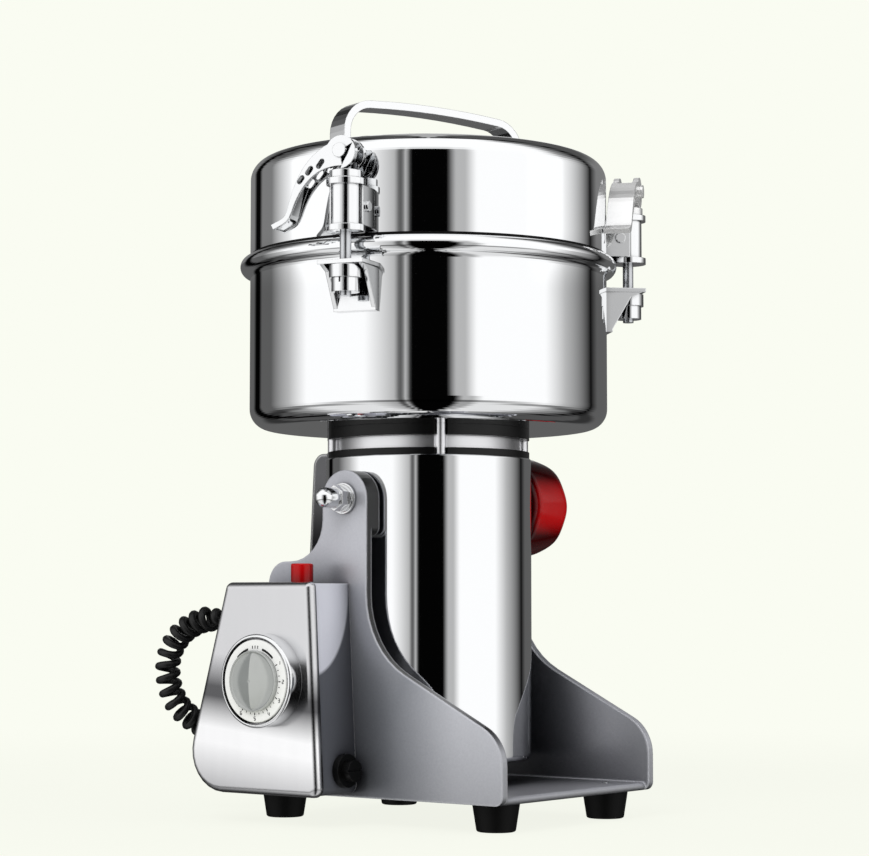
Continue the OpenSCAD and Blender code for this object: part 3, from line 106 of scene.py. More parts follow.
def on_route(t):
    """A Catmull-Rom point of the route, for t from 0 to 1."""
    n = len(ROUTE) - 1
    s = min(max(t, 0), 1) * n
    i = min(int(s), n - 1)
    f = s - i
    p0, p1, p2, p3 = ROUTE[max(i - 1, 0)], ROUTE[i], ROUTE[i + 1], ROUTE[min(i + 2, n)]
    bend = 2 * p0 - 5 * p1 + 4 * p2 - p3
    twist = 3 * p1 - p0 - 3 * p2 + p3
    return (2 * p1 + (p2 - p0) * f + bend * f * f + twist * f ** 3) / 2


def square_to(way, normal):
    """The normal turned square to the way."""
    return (normal - way * normal.dot(way)).normalized()


def cord_path(per_curl=20, fine=2000):
    """The centreline of the helix, in millimetres, and its length."""
    line = [on_route(i / fine) for i in range(fine + 1)]
    run = [0.0]
    for a, b in zip(line, line[1:]):
        run.append(run[-1] + (b - a).length)

    def at(d):
        lo, hi = 0, fine
        while hi - lo > 1:
            m = (lo + hi) // 2
            lo, hi = (m, hi) if run[m] <= d else (lo, m)
        return line[lo].lerp(line[lo + 1], (d - run[lo]) / (run[lo + 1] - run[lo]))

    rings = CURLS * per_curl
    axis = [at(LEAD + (run[-1] - 2 * LEAD) * i / rings) for i in range(rings + 1)]
    points = [at(0), at(CORD_D / 2)]
    normal = Vector((1, 0, 0))
    for i, p in enumerate(axis):
        way = (axis[min(i + 1, rings)] - axis[max(i - 1, 0)]).normalized()
        normal = square_to(way, normal)
        swell = (CURL_D - CORD_D) / 2 * min(1, i / per_curl, (rings - i) / per_curl)
        a = 2 * math.pi * i / per_curl
        points.append(p + swell * (math.cos(a) * normal + math.sin(a) * way.cross(normal)))
    points += [at(run[-1] - CORD_D / 2), at(run[-1])]
    length = sum((b - a).length for a, b in zip(points, points[1:]))
    return points, length


def turns_of(sides):
    """The angles of a circle's points."""
    return [2 * math.pi * k / sides for k in range(sides)]


def mesh_piece(name, bm):
    data = bpy.data.meshes.new(name)
    bm.to_mesh(data)
    bm.free()
    piece = bpy.data.objects.new(name, data)
    SCENE.collection.objects.link(piece)
    return piece


def skin(bm, rows):
    """Smooth quads between rows of points, each a closed loop in metres, with flat ends."""
    made = [[bm.verts.new(p) for p in row] for row in rows]
    for low, high in zip(made, made[1:]):
        for k in range(len(low)):
            n = (k + 1) % len(low)
            bm.faces.new((low[k], low[n], high[n], high[k])).smooth = True
    bm.faces.new(made[0][::-1])
    bm.faces.new(made[-1])


def tube_piece(name, points, radius, sides=12):
    """A capped round tube along points, in metres."""
    normal = Vector((0, 0, 1))
    rows = []
    for i, p in enumerate(points):
        way = (points[min(i + 1, len(points) - 1)] - points[max(i - 1, 0)]).normalized()
        normal = square_to(way, normal)
        side = way.cross(normal)
        rows.append([p + radius * (math.cos(t) * normal + math.sin(t) * side) for t in turns_of(sides)])
    bm = bmesh.new()
    skin(bm, rows)
    return mesh_piece(name, bm)


cord_points, cord_length = cord_path()
cord = tube_piece("cord_curls", [p * MM for p in cord_points], CORD_D / 2 * MM)
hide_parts("curly_cord")
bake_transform(cord)


def piece_from(name, bm, slot_name, body, *nodes):
    """A piece that rides on a body, in place of the CAD nodes named."""
    bmesh.ops.recalc_face_normals(bm, faces=bm.faces)
    piece = mesh_piece(name, bm)
    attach(piece, body)
    if nodes:
        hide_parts(*nodes)
    return piece


# Pressed cover of the control box: a sheet with one rounded edge all round, in millimetres
COVER_LOW, COVER_TOP = FLOOR_TO_PLATE + BOX_LOW, FLOOR_TO_PLATE + BOX_TOP
COVER_CORNERS = ((BOX_FRONT_LOW, COVER_LOW, 5), (BOX_FRONT_TOP, COVER_TOP, 2.5),
                 (BOX_REAR_TOP, COVER_TOP, 3.5), (BOX_REAR_LOW, COVER_LOW, 23))
COVER_FACE, COVER_BACK, COVER_SHEET, COVER_ROUND, COVER_GROWTH = -112, -106.1, 0.75, 4.2, 0.8
COVER_STEPS, CORNER_STEPS, LEAST_ROUND = 8, 8, 0.3


def rounded_outline(corners, inset):
    """A convex outline with round corners (y, z, radius), moved in by inset."""
    points = []
    for i, (y, z, radius) in enumerate(corners):
        p = Vector((y, z))
        to_last = (Vector(corners[i - 1][:2]) - p).normalized()
        to_next = (Vector(corners[(i + 1) % len(corners)][:2]) - p).normalized()
        half = to_last.angle(to_next) / 2
        mid = (to_last + to_next).normalized()
        r = max(radius - inset, LEAST_ROUND)
        centre = p + mid * ((inset + r) / math.sin(half))
        first = to_last * (r / math.tan(half)) - mid * (r / math.sin(half))
        second = to_next * (r / math.tan(half)) - mid * (r / math.sin(half))
        turn = first.angle(second)
        for k in range(CORNER_STEPS + 1):
            a = turn * k / CORNER_STEPS
            points.append(centre + (first * math.sin(turn - a) + second * math.sin(a)) / math.sin(turn))
    return points


def pressed_cover():
    def row(x, inset):
        return [Vector((x, p.x, p.y)) * MM for p in rounded_outline(COVER_CORNERS, inset)]

    def bend(x, inset, r):
        quarter = [math.pi / 2 * k / COVER_STEPS for k in range(COVER_STEPS + 1)]
        return [row(x + r * (1 - math.sin(a)), inset + r * (1 - math.cos(a))) for a in quarter]

    outer = bend(COVER_FACE, -COVER_GROWTH, COVER_ROUND)
    inner = bend(COVER_FACE + COVER_SHEET, COVER_SHEET - COVER_GROWTH, COVER_ROUND - COVER_SHEET)
    shaded_rim = [row(COVER_BACK, COVER_SHEET - COVER_GROWTH), row(COVER_BACK, -COVER_GROWTH)]
    bm = bmesh.new()
    skin(bm, inner[::-1] + shaded_rim + outer)
    return piece_from("pressed_cover", bm, "cover_steel", "base", "box_cover")


# Timer: dial, pointer knob and printed marks round one axis, in millimetres; profiles are (height, radius)
DIAL_Y, DIAL_Z = 30, 82.8
DISC_PROFILE = ((4.6, 23.6), (9.2, 23.6), (9.75, 23.3), (9.85, 22.8), (9.85, 12))
KNOB_PROFILE = ((9.9, 17.4), (12.2, 17.4), (12.65, 17.2), (12.8, 16.9), (12.75, 16.6), (12.2, 16.4))
KNOB_WELL_R, KNOB_FLOOR, KNOB_RIDGE = 16.4, 11.9, 15.4
KNOB_RING_SHARES = (0.985, 0.95, 0.9, 0.84, 0.77, 0.7, 0.62, 0.54, 0.46, 0.38, 0.3, 0.22, 0.14, 0.06)
LEAF_UP, LEAF_W, LEAST_LEAF_W = 16.2, 10.9, 0.2
LEAF_TIP_POWER, LEAF_SIDE_POWER, LEAF_RISE_POWER = 1.7, 0.7, 0.6
DISC_SIDES, KNOB_SIDES = 96, 144
MARK_LOW, MARK_HIGH = 9.7, 9.98


def on_dial(height, right, up):
    """A point raised above the cover's face, right and up as it is read, in metres."""
    return Vector((COVER_FACE - height, DIAL_Y - right, DIAL_Z + up)) * MM


def dial_ring(height, radius, sides):
    return [on_dial(height, radius * math.sin(t), radius * math.cos(t)) for t in turns_of(sides)]


def dial_disc():
    bm = bmesh.new()
    skin(bm, [dial_ring(h, r, DISC_SIDES) for h, r in DISC_PROFILE])
    return piece_from("dial_disc", bm, "dial_white", "base", "dial_plate")


def leaf_height(right, up):
    """The grip's height over the knob's floor: a leaf whose ridge points up."""
    half = LEAF_W * max(1 - abs(up / LEAF_UP) ** LEAF_TIP_POWER, 0) ** LEAF_SIDE_POWER
    rise = max(1 - abs(right) / half, 0) if half > LEAST_LEAF_W else 0
    return (KNOB_RIDGE - KNOB_FLOOR) * rise * (half / LEAF_W) ** LEAF_RISE_POWER


def pointer_knob():
    """A round knob with a leaf-shaped grip across its well."""
    rows = [dial_ring(h, r, KNOB_SIDES) for h, r in KNOB_PROFILE]
    for share in KNOB_RING_SHARES:
        row = []
        for t in turns_of(KNOB_SIDES):
            right, up = KNOB_WELL_R * share * math.sin(t), KNOB_WELL_R * share * math.cos(t)
            row.append(on_dial(KNOB_FLOOR + leaf_height(right, up), right, up))
        rows.append(row)
    bm = bmesh.new()
    skin(bm, rows)
    return piece_from("pointer_knob", bm, "grey_plastic", "timer_knob", "timer_knob")


def bar(bm, right, up, w, h, turn=0.0):
    """One printed bar, w by h, turned clockwise about its own middle."""
    c, s = math.cos(turn), math.sin(turn)
    corners = [(right + x * c + y * s, up - x * s + y * c)
               for x, y in ((-w / 2, -h / 2), (w / 2, -h / 2), (w / 2, h / 2), (-w / 2, h / 2))]
    skin(bm, [[on_dial(height, *p) for p in corners] for height in (MARK_LOW, MARK_HIGH)])


def tick(bm, degrees, radius, w, h):
    """A bar that points to the dial's axis, clockwise from the top."""
    t = math.radians(degrees)
    bar(bm, radius * math.sin(t), radius * math.cos(t), w, h, t)


DIGITS = {1: "bc", 2: "abged", 3: "abgcd", 4: "fgbc", 5: "afgcd", 6: "afgedc"}
FLAT_STROKES = "agd"
DIGIT_W, DIGIT_H, STROKE = 1.1, 2.0, 0.34
FIRST_DIGIT, DIGIT_EVERY, LAST_TICK, TICK_EVERY, DIGIT_R = 60, 30, 230, 10, 21.2
ARC_FROM, ARC_TO, ARC_EVERY, TOP_TICKS = 18, 44, 2, (-6, 0, 6)
ARC_TICK, TOP_TICK = (18.7, 0.9, 1.2), (19.3, 0.5, 1.7)
LONG_TICK, SHORT_TICK = (18.6, 0.5, 1.6), (18.6, 0.35, 1.0)


def digit(bm, n, right, up):
    """A number of up to six strokes, flat or upright."""
    w, h = DIGIT_W / 2, DIGIT_H / 2
    strokes = {"a": (0, h), "g": (0, 0), "d": (0, -h), "b": (w, h / 2), "c": (w, -h / 2),
               "e": (-w, -h / 2), "f": (-w, h / 2)}
    for key in DIGITS[n]:
        x, y = strokes[key]
        size = (DIGIT_W, STROKE) if key in FLAT_STROKES else (STROKE, DIGIT_H / 2)
        bar(bm, right + x, up + y, *size)


def dial_marks():
    """Two arcs and three ticks at the top, then ticks with the numbers 1 to 6."""
    bm = bmesh.new()
    for degrees in range(ARC_FROM, ARC_TO + 1, ARC_EVERY):
        for way in (-1, 1):
            tick(bm, degrees * way, *ARC_TICK)
    for degrees in TOP_TICKS:
        tick(bm, degrees, *TOP_TICK)
    for degrees in range(FIRST_DIGIT, LAST_TICK + 1, TICK_EVERY):
        numbered = degrees % DIGIT_EVERY == 0
        tick(bm, degrees, *(LONG_TICK if numbered else SHORT_TICK))
        if numbered:
            t = math.radians(degrees)
            number = (degrees - FIRST_DIGIT) // DIGIT_EVERY + 1
            digit(bm, number, DIGIT_R * math.sin(t), DIGIT_R * math.cos(t))
    return piece_from("dial_marks", bm, "black_plastic", "base")


# Clamp knob: a smooth domed hand knob with shallow lobes, on the axis and foot of the part's own
HAND_LOW, HAND_HIGH = (Vector(corner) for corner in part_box("clamp_knob"))
HAND_AXIS = (HAND_LOW + HAND_HIGH) / 2
HAND_R, HAND_DEPTH = (HAND_HIGH.z - HAND_LOW.z) / 2, HAND_HIGH.x - HAND_LOW.x
HAND_FOOT_SHARES = ((0, 0.42), (0, 0.86), (0.04, 0.97), (0.12, 1.0))
HAND_TURN_SHARE, HAND_END_SHARE, HAND_POWER, HAND_STEPS = 0.82, 1.2, 3, 16
HAND_SIDES, HAND_LOBES, HAND_DIP_SHARE, LOBED_OVER_SHARE = 128, 8, 0.02, 0.6


def dome_shares(k):
    """Depth and radius at one step of the dome, a quarter of a superellipse."""
    a = math.pi / 2 * k / HAND_STEPS
    out = (HAND_END_SHARE - HAND_TURN_SHARE) * math.sin(a) ** (2 / HAND_POWER)
    return HAND_TURN_SHARE + out, math.cos(a) ** (2 / HAND_POWER)


def hand_knob():
    rows = []
    for along, share in HAND_FOOT_SHARES + tuple(dome_shares(k) for k in range(HAND_STEPS)):
        dip_share = HAND_DIP_SHARE if share > LOBED_OVER_SHARE else 0
        row = []
        for t in turns_of(HAND_SIDES):
            r = HAND_R * share * (1 - dip_share * (1 - math.cos(HAND_LOBES * t)) / 2)
            row.append(Vector((HAND_LOW.x + HAND_DEPTH * along, HAND_AXIS.y + r * math.cos(t),
                               HAND_AXIS.z + r * math.sin(t))))
        rows.append(row)
    bm = bmesh.new()
    skin(bm, rows)
    return piece_from("hand_knob", bm, "red_plastic", "clamp", "clamp_knob")


cover = pressed_cover()
dial = dial_disc()
knob = pointer_knob()
marks = dial_marks()
hand = hand_knob()


# Materials: colours are display values of 0 to 255, sizes and places are metres on the object
def srgb(r, g, b):
    """A display colour as the linear colour that shaders take."""
    shares = (r / 255, g / 255, b / 255)
    return tuple(c / 12.92 if c <= 0.04045 else ((c + 0.055) / 1.055) ** 2.4 for c in shares) + (1,)


class Nodes:
    """The node tree of a material or of the world, in the making."""

    def __init__(self, owner, empty=True):
        owner.use_nodes = True
        self.tree = owner.node_tree
        if empty:
            self.tree.nodes.clear()

    def node(self, kind, **values):
        """A new node; each value goes to its input or its setting of that name."""
        n = self.tree.nodes.new(kind)
        for key, value in values.items():
            socket = key.replace("_", " ")
            if socket in n.inputs:
                n.inputs[socket].default_value = value
            else:
                setattr(n, key, value)
        return n

    def feed(self, socket, value):
        """Links an output to the socket, or sets the socket to a plain value."""
        if isinstance(value, bpy.types.NodeSocket):
            self.tree.links.new(value, socket)
        else:
            socket.default_value = value

    def math(self, kind, a, b=0.0):
        n = self.node("ShaderNodeMath", operation=kind)
        self.feed(n.inputs[0], a)
        self.feed(n.inputs[1], b)
        return n.outputs[0]

    def stretch(self, source, low, high, to_low=0.0, to_high=1.0, smooth=False):
        """Takes low to to_low and high to to_high, and holds them beyond."""
        n = self.node("ShaderNodeMapRange", interpolation_type="SMOOTHSTEP" if smooth else "LINEAR",
                      From_Min=low, From_Max=high, To_Min=to_low, To_Max=to_high)
        self.feed(n.inputs["Value"], source)
        return n.outputs["Result"]

    def where(self, kind="Object"):
        """The point in the object's own axes, or with Normal the surface's direction."""
        return self.node("ShaderNodeTexCoord").outputs[kind]

    def split(self, vector):
        n = self.node("ShaderNodeSeparateXYZ")
        self.feed(n.inputs[0], vector)
        return n.outputs

    def mix(self, fac, a, b, blend="MIX"):
        """Colour a where fac is 0 and b where it is 1; each a display colour or an output."""
        n = self.node("ShaderNodeMix", data_type="RGBA", blend_type=blend)
        self.feed(n.inputs[0], fac)
        for value, socket in ((a, n.inputs[6]), (b, n.inputs[7])):
            self.feed(socket, srgb(*value) if isinstance(value, tuple) else value)
        return n.outputs[2]

    def ramp(self, source, low, high, stops):
        """A run of display colours along source; stops are (place, colour) from low to high."""
        n = self.node("ShaderNodeValToRGB")
        while len(n.color_ramp.elements) < len(stops):
            n.color_ramp.elements.new(0.5)
        for stop, (at, colour) in zip(n.color_ramp.elements, stops):
            stop.position = (at - low) / (high - low)
            stop.color = srgb(*colour)
        self.feed(n.inputs["Fac"], self.stretch(source, low, high))
        return n.outputs["Color"]


class Finish(Nodes):
    """A material: its Principled shader and the procedural detail that feeds it."""

    def __init__(self, name, colour, metallic=0.0, roughness=0.4, **sockets):
        self.mat = bpy.data.materials.new(name)
        super().__init__(self.mat, empty=False)
        self.shader = self.tree.nodes["Principled BSDF"]
        sockets.update(Base_Color=srgb(*colour), Metallic=metallic, Roughness=roughness)
        for key, value in sockets.items():
            self.shader.inputs[key.replace("_", " ")].default_value = value

    def noise(self, scale, drawn_out=(1, 1, 1), detail=3):
        """A noise over the object's own coordinates."""
        squeeze = self.node("ShaderNodeMapping", Scale=drawn_out)
        n = self.node("ShaderNodeTexNoise", Scale=scale, Detail=detail)
        self.feed(squeeze.inputs["Vector"], self.where())
        self.feed(n.inputs["Vector"], squeeze.outputs["Vector"])
        return n.outputs["Fac"]

    def at(self, axis, low, high):
        """A smooth step along one of the object's axes."""
        return self.stretch(self.split(self.where())[axis], low, high, smooth=True)

    def facing(self, axis, low, high):
        """A smooth step along one coordinate of the surface's own direction."""
        return self.stretch(self.split(self.where("Normal"))[axis], low, high, smooth=True)

    def clear(self, distance, low, high, samples=8):
        """0 where the surface is shut in within distance, as in a corner, 1 in the open."""
        n = self.node("ShaderNodeAmbientOcclusion", samples=samples, Distance=distance)
        return self.stretch(n.outputs["AO"], low, high)

    def rounded(self, radius):
        """The normal with sharp edges rounded by that radius."""
        return self.node("ShaderNodeBevel", samples=6, Radius=radius).outputs["Normal"]

    def edge(self, radius, low, high):
        """1 where a rounded edge of that radius would turn, 0 on the flats."""
        dot = self.node("ShaderNodeVectorMath", operation="DOT_PRODUCT")
        self.feed(dot.inputs[0], self.rounded(radius))
        self.feed(dot.inputs[1], self.node("ShaderNodeNewGeometry").outputs["Normal"])
        return self.stretch(dot.outputs["Value"], low, high)

    def paint(self, colour):
        self.feed(self.shader.inputs["Base Color"], colour)

    def rough(self, fac, low, high):
        self.feed(self.shader.inputs["Roughness"], self.stretch(fac, 0, 1, low, high))

    def bump(self, fac, strength, depth, edge=0.0):
        """Relief from fac, over sharp edges rounded by edge."""
        b = self.node("ShaderNodeBump", Strength=strength, Distance=depth)
        self.feed(b.inputs["Height"], fac)
        if edge:
            self.feed(b.inputs["Normal"], self.rounded(edge))
        self.feed(self.shader.inputs["Normal"], b.outputs["Normal"])


GRAIN_DEPTH, FINE_DEPTH = 0.0002, 0.0001
CORNER_SHADE_GREY, SHADE_GREY = (78, 78, 80), (34, 34, 40)


def steel(name, colour, low, high, strength, grain=(1, 1, 1), scale=60, edge=0.0004, shade_reach=0.0,
          metallic=1.0):
    """Bare steel, low to high rough, with painted shade that darkens its corners within the given reach."""
    f = Finish(name, colour, metallic, low)
    f.rough(f.noise(scale, grain, detail=4), low, high)
    f.bump(f.noise(scale * 4, grain, detail=5), strength, GRAIN_DEPTH, edge)
    if shade_reach:
        # Painted shade: the colour turns grey in corners and between parts
        f.paint(f.mix(f.clear(shade_reach, 0.15, 0.7), CORNER_SHADE_GREY, colour))
    return f.mat


def polished_steel():
    return steel("mirror_steel", (242, 243, 244), 0.02, 0.05, 0.004, grain=(1, 1, 30), scale=20, edge=0)


def bright_steel():
    return steel("chrome_steel", (240, 241, 242), 0.05, 0.1, 0.015, edge=0.0006, shade_reach=0.012)


def plain_steel():
    return steel("turned_steel", (205, 207, 210), 0.18, 0.32, 0.05, shade_reach=0.01)


def post_steel():
    return steel("satin_post_steel", (238, 238, 240), 0.3, 0.38, 0.01, grain=(1, 1, 8), scale=40)


def lit_latch_steel():
    """Pale polished sheet that also scatters a little light, given to the second latch only: painted light.
    """
    return steel("painted_light_latch_steel", (250, 250, 250), 0.16, 0.26, 0.015, edge=0.0006, metallic=0.7)


COVER_REFLECTED_FOOT, COVER_REFLECTED_BRIGHT, COVER_REFLECTED_DARK = (172, 172, 174), (248, 248, 249), (94, 94, 96)
COVER_REFLECTED_PALE = (212, 212, 214)
# Painted reflection: tones of the cover by height, standing in for the studio the sheet reflects
COVER_REFLECTION_TONES = ((0.016, COVER_REFLECTED_FOOT), (0.045, COVER_REFLECTED_BRIGHT), (0.054, COVER_REFLECTED_BRIGHT), (0.072, COVER_REFLECTED_DARK),
               (0.078, COVER_REFLECTED_DARK), (0.097, COVER_REFLECTED_PALE))
COVER_RISE, COVER_LEAN, COVER_REACH, COVER_GRAIN = 0.006, -0.1, 0.15, (1, 6, 0.6)


def cover_steel():
    """Brushed sheet with painted reflection bands by height, a dark band that leans a little, inside a
    painted highlight on the edge.
    """
    f = Finish("pressed_cover_steel", (232, 233, 234), metallic=1.0, roughness=0.16)
    point = f.split(f.where())
    leaning = f.math("ADD", f.math("MULTIPLY", point["Y"], COVER_LEAN), COVER_RISE)
    reflection_tone = f.ramp(f.math("ADD", point["Z"], leaning), 0.0, COVER_REACH, COVER_REFLECTION_TONES)
    # Painted highlight along the rounded edge
    f.paint(f.mix(f.edge(0.0009, 0.995, 0.9), reflection_tone, (246, 246, 247)))
    f.rough(f.noise(30, COVER_GRAIN, detail=4), 0.2, 0.28)
    f.bump(f.noise(120, COVER_GRAIN, detail=5), 0.02, GRAIN_DEPTH)
    return f.mat


WIRING_SHADE_Z, WIRING_LIT_Z = 0.16, 0.21


def wiring_steel():
    """The wiring cover: painted shade makes its face dark, lighter at its top, inside a painted highlight on
    the folded edge.
    """
    f = Finish("wiring_cover_steel", (120, 120, 122), metallic=1.0, roughness=0.25)
    # Painted shade on the face, lighter towards the top, and a painted highlight on the edge
    shaded_face = f.mix(f.at("Z", WIRING_SHADE_Z, WIRING_LIT_Z), (26, 26, 27), (96, 96, 98))
    f.paint(f.mix(f.edge(0.0035, 0.985, 0.85), shaded_face, (255, 255, 255)))
    f.rough(f.noise(40), 0.2, 0.34)
    f.bump(f.noise(200, detail=4), 0.03, GRAIN_DEPTH, edge=0.002)
    return f.mat


LIT_FROM_Z, LIT_TO_Z, LIT_FROM_Y, LIT_TO_Y = 0.06, 0.165, -0.03, -0.088
FRONT_SHADE_FROM_Z, FRONT_SHADE_TO_Z, FRONT_SHADE_FROM_X, FRONT_SHADE_TO_X = 0.04, 0.06, 0.0, -0.01


def frame_paint():
    """Silver paint with painted light and shade: paler high up and in front, painted shade in corners and on
    the box arm's front edge, and a painted highlight on the edges.
    """
    f = Finish("frame_silver_paint", (150, 150, 158), metallic=0.45, roughness=0.34, Coat_Weight=0.3,
               Coat_Roughness=0.22)
    speck = f.noise(700, detail=2)
    # Painted light: paler high up and towards the front
    lit_part = f.math("MAXIMUM", f.at("Z", LIT_FROM_Z, LIT_TO_Z), f.at("Y", LIT_FROM_Y, LIT_TO_Y))
    body = f.mix(lit_part, (134, 137, 144), (200, 201, 208))
    # Painted shade in corners
    body = f.mix(f.clear(0.11, 0.15, 0.88, samples=12), SHADE_GREY, body)
    # Painted shade, near black, on the box arm's front-facing faces
    front = f.math("MULTIPLY", f.facing("Y", -0.25, -0.5), f.at("Z", FRONT_SHADE_FROM_Z, FRONT_SHADE_TO_Z))
    body = f.mix(f.math("MULTIPLY", front, f.at("X", FRONT_SHADE_FROM_X, FRONT_SHADE_TO_X)), body, (7, 7, 8))
    # Painted highlight on the edges
    body = f.mix(f.edge(0.0022, 0.985, 0.84), body, (216, 217, 224))
    f.paint(f.mix(1.0, body, f.mix(speck, (238, 238, 240), (255, 255, 255)), "MULTIPLY"))
    f.rough(f.noise(40), 0.28, 0.4)
    f.bump(speck, 0.03, FINE_DEPTH, edge=0.0016)
    return f.mat


SHEEN_X, SHEEN_Z, SHEEN_WIDE, SHEEN_HIGH = -0.112, 0.136, 0.035, 0.05


def box_paint():
    """The box's side: a painted reflection, a pale rounded sheen at the top of a darker violet-grey field,
    with painted shade in corners and a painted highlight on the edges.
    """
    f = Finish("box_violet_paint", (166, 168, 180), metallic=0.1, roughness=0.32, Coat_Weight=0.3,
               Coat_Roughness=0.2)
    point = f.split(f.where())
    # Painted reflection: a pale rounded patch near the top of the side
    shares = [f.math("DIVIDE", f.math("SUBTRACT", point[axis], middle), size)
              for axis, middle, size in (("X", SHEEN_X, SHEEN_WIDE), ("Z", SHEEN_Z, SHEEN_HIGH))]
    away = f.math("ADD", *[f.math("MULTIPLY", share, share) for share in shares])
    body = f.mix(f.stretch(away, 0.95, 1.04), (216, 217, 230), (88, 90, 98))
    # Painted shade in corners
    body = f.mix(f.clear(0.03, 0.3, 0.9), SHADE_GREY, body)
    # Painted highlight on the edges
    f.paint(f.mix(f.edge(0.0014, 0.97, 0.82), body, (222, 222, 230)))
    f.rough(f.noise(40), 0.26, 0.38)
    f.bump(f.noise(700, detail=2), 0.03, FINE_DEPTH, edge=0.0012)
    return f.mat


def black(name, colour, low, high, scale=300, strength=0.15, shine=0.3):
    """Black rubber or plastic, low to high rough, with a fine grain."""
    f = Finish(name, colour, roughness=low, Specular_IOR_Level=shine)
    grain = f.noise(scale, detail=4)
    f.paint(f.mix(grain, tuple(c * 0.6 for c in colour), tuple(c * 1.3 for c in colour)))
    f.rough(f.noise(60), low, high)
    f.bump(grain, strength, FINE_DEPTH, edge=0.0004)
    return f.mat


RIM_SHADE_FROM_Y, RIM_SHADE_TO_Y = -0.0215, -0.0275


def red_plastic(name="red_gloss_plastic", shaded_rim=False):
    """Gloss red with painted shade in corners; for the clamp's knob, painted shade also darkens its front
    rim.
    """
    f = Finish(name, (176, 4, 8), roughness=0.16, Specular_IOR_Level=0.2, Coat_Weight=0.12,
               Coat_Roughness=0.04)
    body = f.mix(f.noise(25), (166, 1, 4), (200, 4, 9))
    if shaded_rim:
        # Painted shade: the front rim of the clamp's knob darker
        body = f.mix(f.at("Y", RIM_SHADE_FROM_Y, RIM_SHADE_TO_Y), (58, 0, 2), body)
    # Painted shade in corners
    f.paint(f.mix(f.clear(0.03, 0.2, 0.9), (24, 0, 1), body))
    f.rough(f.noise(80), 0.1, 0.2)
    f.bump(f.noise(120), 0.03, 0.0003, edge=0.0006)
    return f.mat


def mottled(name, dark, light, low=0.3, high=0.45, scale=200, metallic=0.0):
    """A plain surface between two tones, low to high rough."""
    f = Finish(name, light, metallic, low)
    grain = f.noise(scale)
    f.paint(f.mix(grain, dark, light))
    f.rough(f.noise(50), low, high)
    f.bump(grain, 0.05, FINE_DEPTH, edge=0.0003)
    return f.mat


def grey_plastic():
    """The knob's grey with painted light and shade: paler where the grip slopes to the right, darker to the
    left.
    """
    f = Finish("grey_knob_plastic", (158, 161, 160), roughness=0.3, Coat_Weight=0.2, Coat_Roughness=0.1)
    cloud = f.math("MULTIPLY", f.math("SUBTRACT", f.noise(160), 0.5), 0.3)
    # Painted light and shade by which way the surface faces
    f.paint(f.mix(f.math("ADD", f.facing("Y", 0.25, -0.25), cloud), (140, 143, 143), (178, 180, 179)))
    f.rough(f.noise(50), 0.26, 0.36)
    f.bump(f.noise(200), 0.04, FINE_DEPTH, edge=0.0003)
    return f.mat


def glass_tube():
    f = Finish("fuse_glass", (225, 232, 236), roughness=0.05, Transmission_Weight=0.8, IOR=1.5)
    f.rough(f.noise(100), 0.03, 0.08)
    return f.mat


FINISHES = {
    "frame_paint": frame_paint(), "box_paint": box_paint(), "polished_steel": polished_steel(),
    "bright_steel": bright_steel(), "plain_steel": plain_steel(), "cover_steel": cover_steel(),
    "black_rubber": black("moulded_rubber", (4, 4, 4), 0.42, 0.6, shine=0.15),
    "black_plastic": black("black_moulding", (6, 6, 6), 0.24, 0.38),
    "cord_black": black("cord_sheath", (12, 12, 12), 0.34, 0.5, scale=500, strength=0.2, shine=0.4),
    "red_plastic": red_plastic(),
    "grey_plastic": grey_plastic(),
    "dial_white": mottled("dial_white_print", (236, 236, 236), (246, 246, 245), 0.25, 0.35),
    "pale_plastic": mottled("cream_moulding", (218, 210, 188), (230, 224, 204)),
    "core_iron": mottled("lamination_iron", (78, 80, 84), (104, 107, 111), 0.35, 0.55, 400, metallic=1.0),
    "copper": mottled("wound_copper", (150, 78, 36), (190, 108, 60), 0.25, 0.4, 500, metallic=1.0),
    "glass_tube": glass_tube(),
}
RED_WITH_SHADED_RIM = red_plastic("red_knob_plastic", shaded_rim=True)
# Painted light: the second latch's lever and collar get a paler steel than the first latch
OWN_FINISH = {"neck_posts": post_steel(), "neck_spacer": post_steel(), "wiring_cover": wiring_steel(),
              "latch_lever_2": lit_latch_steel(), "latch_collar_2": lit_latch_steel()}
SLOT_OF = {row["node"]: row["material_slot"] for row in frame["record"]["subparts"]}
for node, obj in frame["nodes"].items():
    for holder in obj.material_slots:
        holder.material = OWN_FINISH.get(node, FINISHES[SLOT_OF[node]])
for piece, slot in ((cord, "cord_black"), (cover, "cover_steel"), (dial, "dial_white"),
                    (knob, "grey_plastic"), (marks, "black_plastic")):
    piece.data.materials.append(FINISHES[slot])
hand.data.materials.append(RED_WITH_SHADED_RIM)


def radians(*degrees):
    return tuple(math.radians(d) for d in degrees)


# Studio, in metres: pale softboxes and black flags in a grey room, which only shiny surfaces see
BACKGROUND, FLOOR_COLOUR = (250, 252, 242), (236, 238, 228)
RING_R, RING_LOW, RING_HIGH, RING_TIP, RING_SIDES = 3.0, -1.6, 4.2, 1.0, 180
TO_CAMERA = math.atan2(-0.6157, -0.788)
BLACK, ROOM, GREY, WHITE = 3, 90, 180, 253
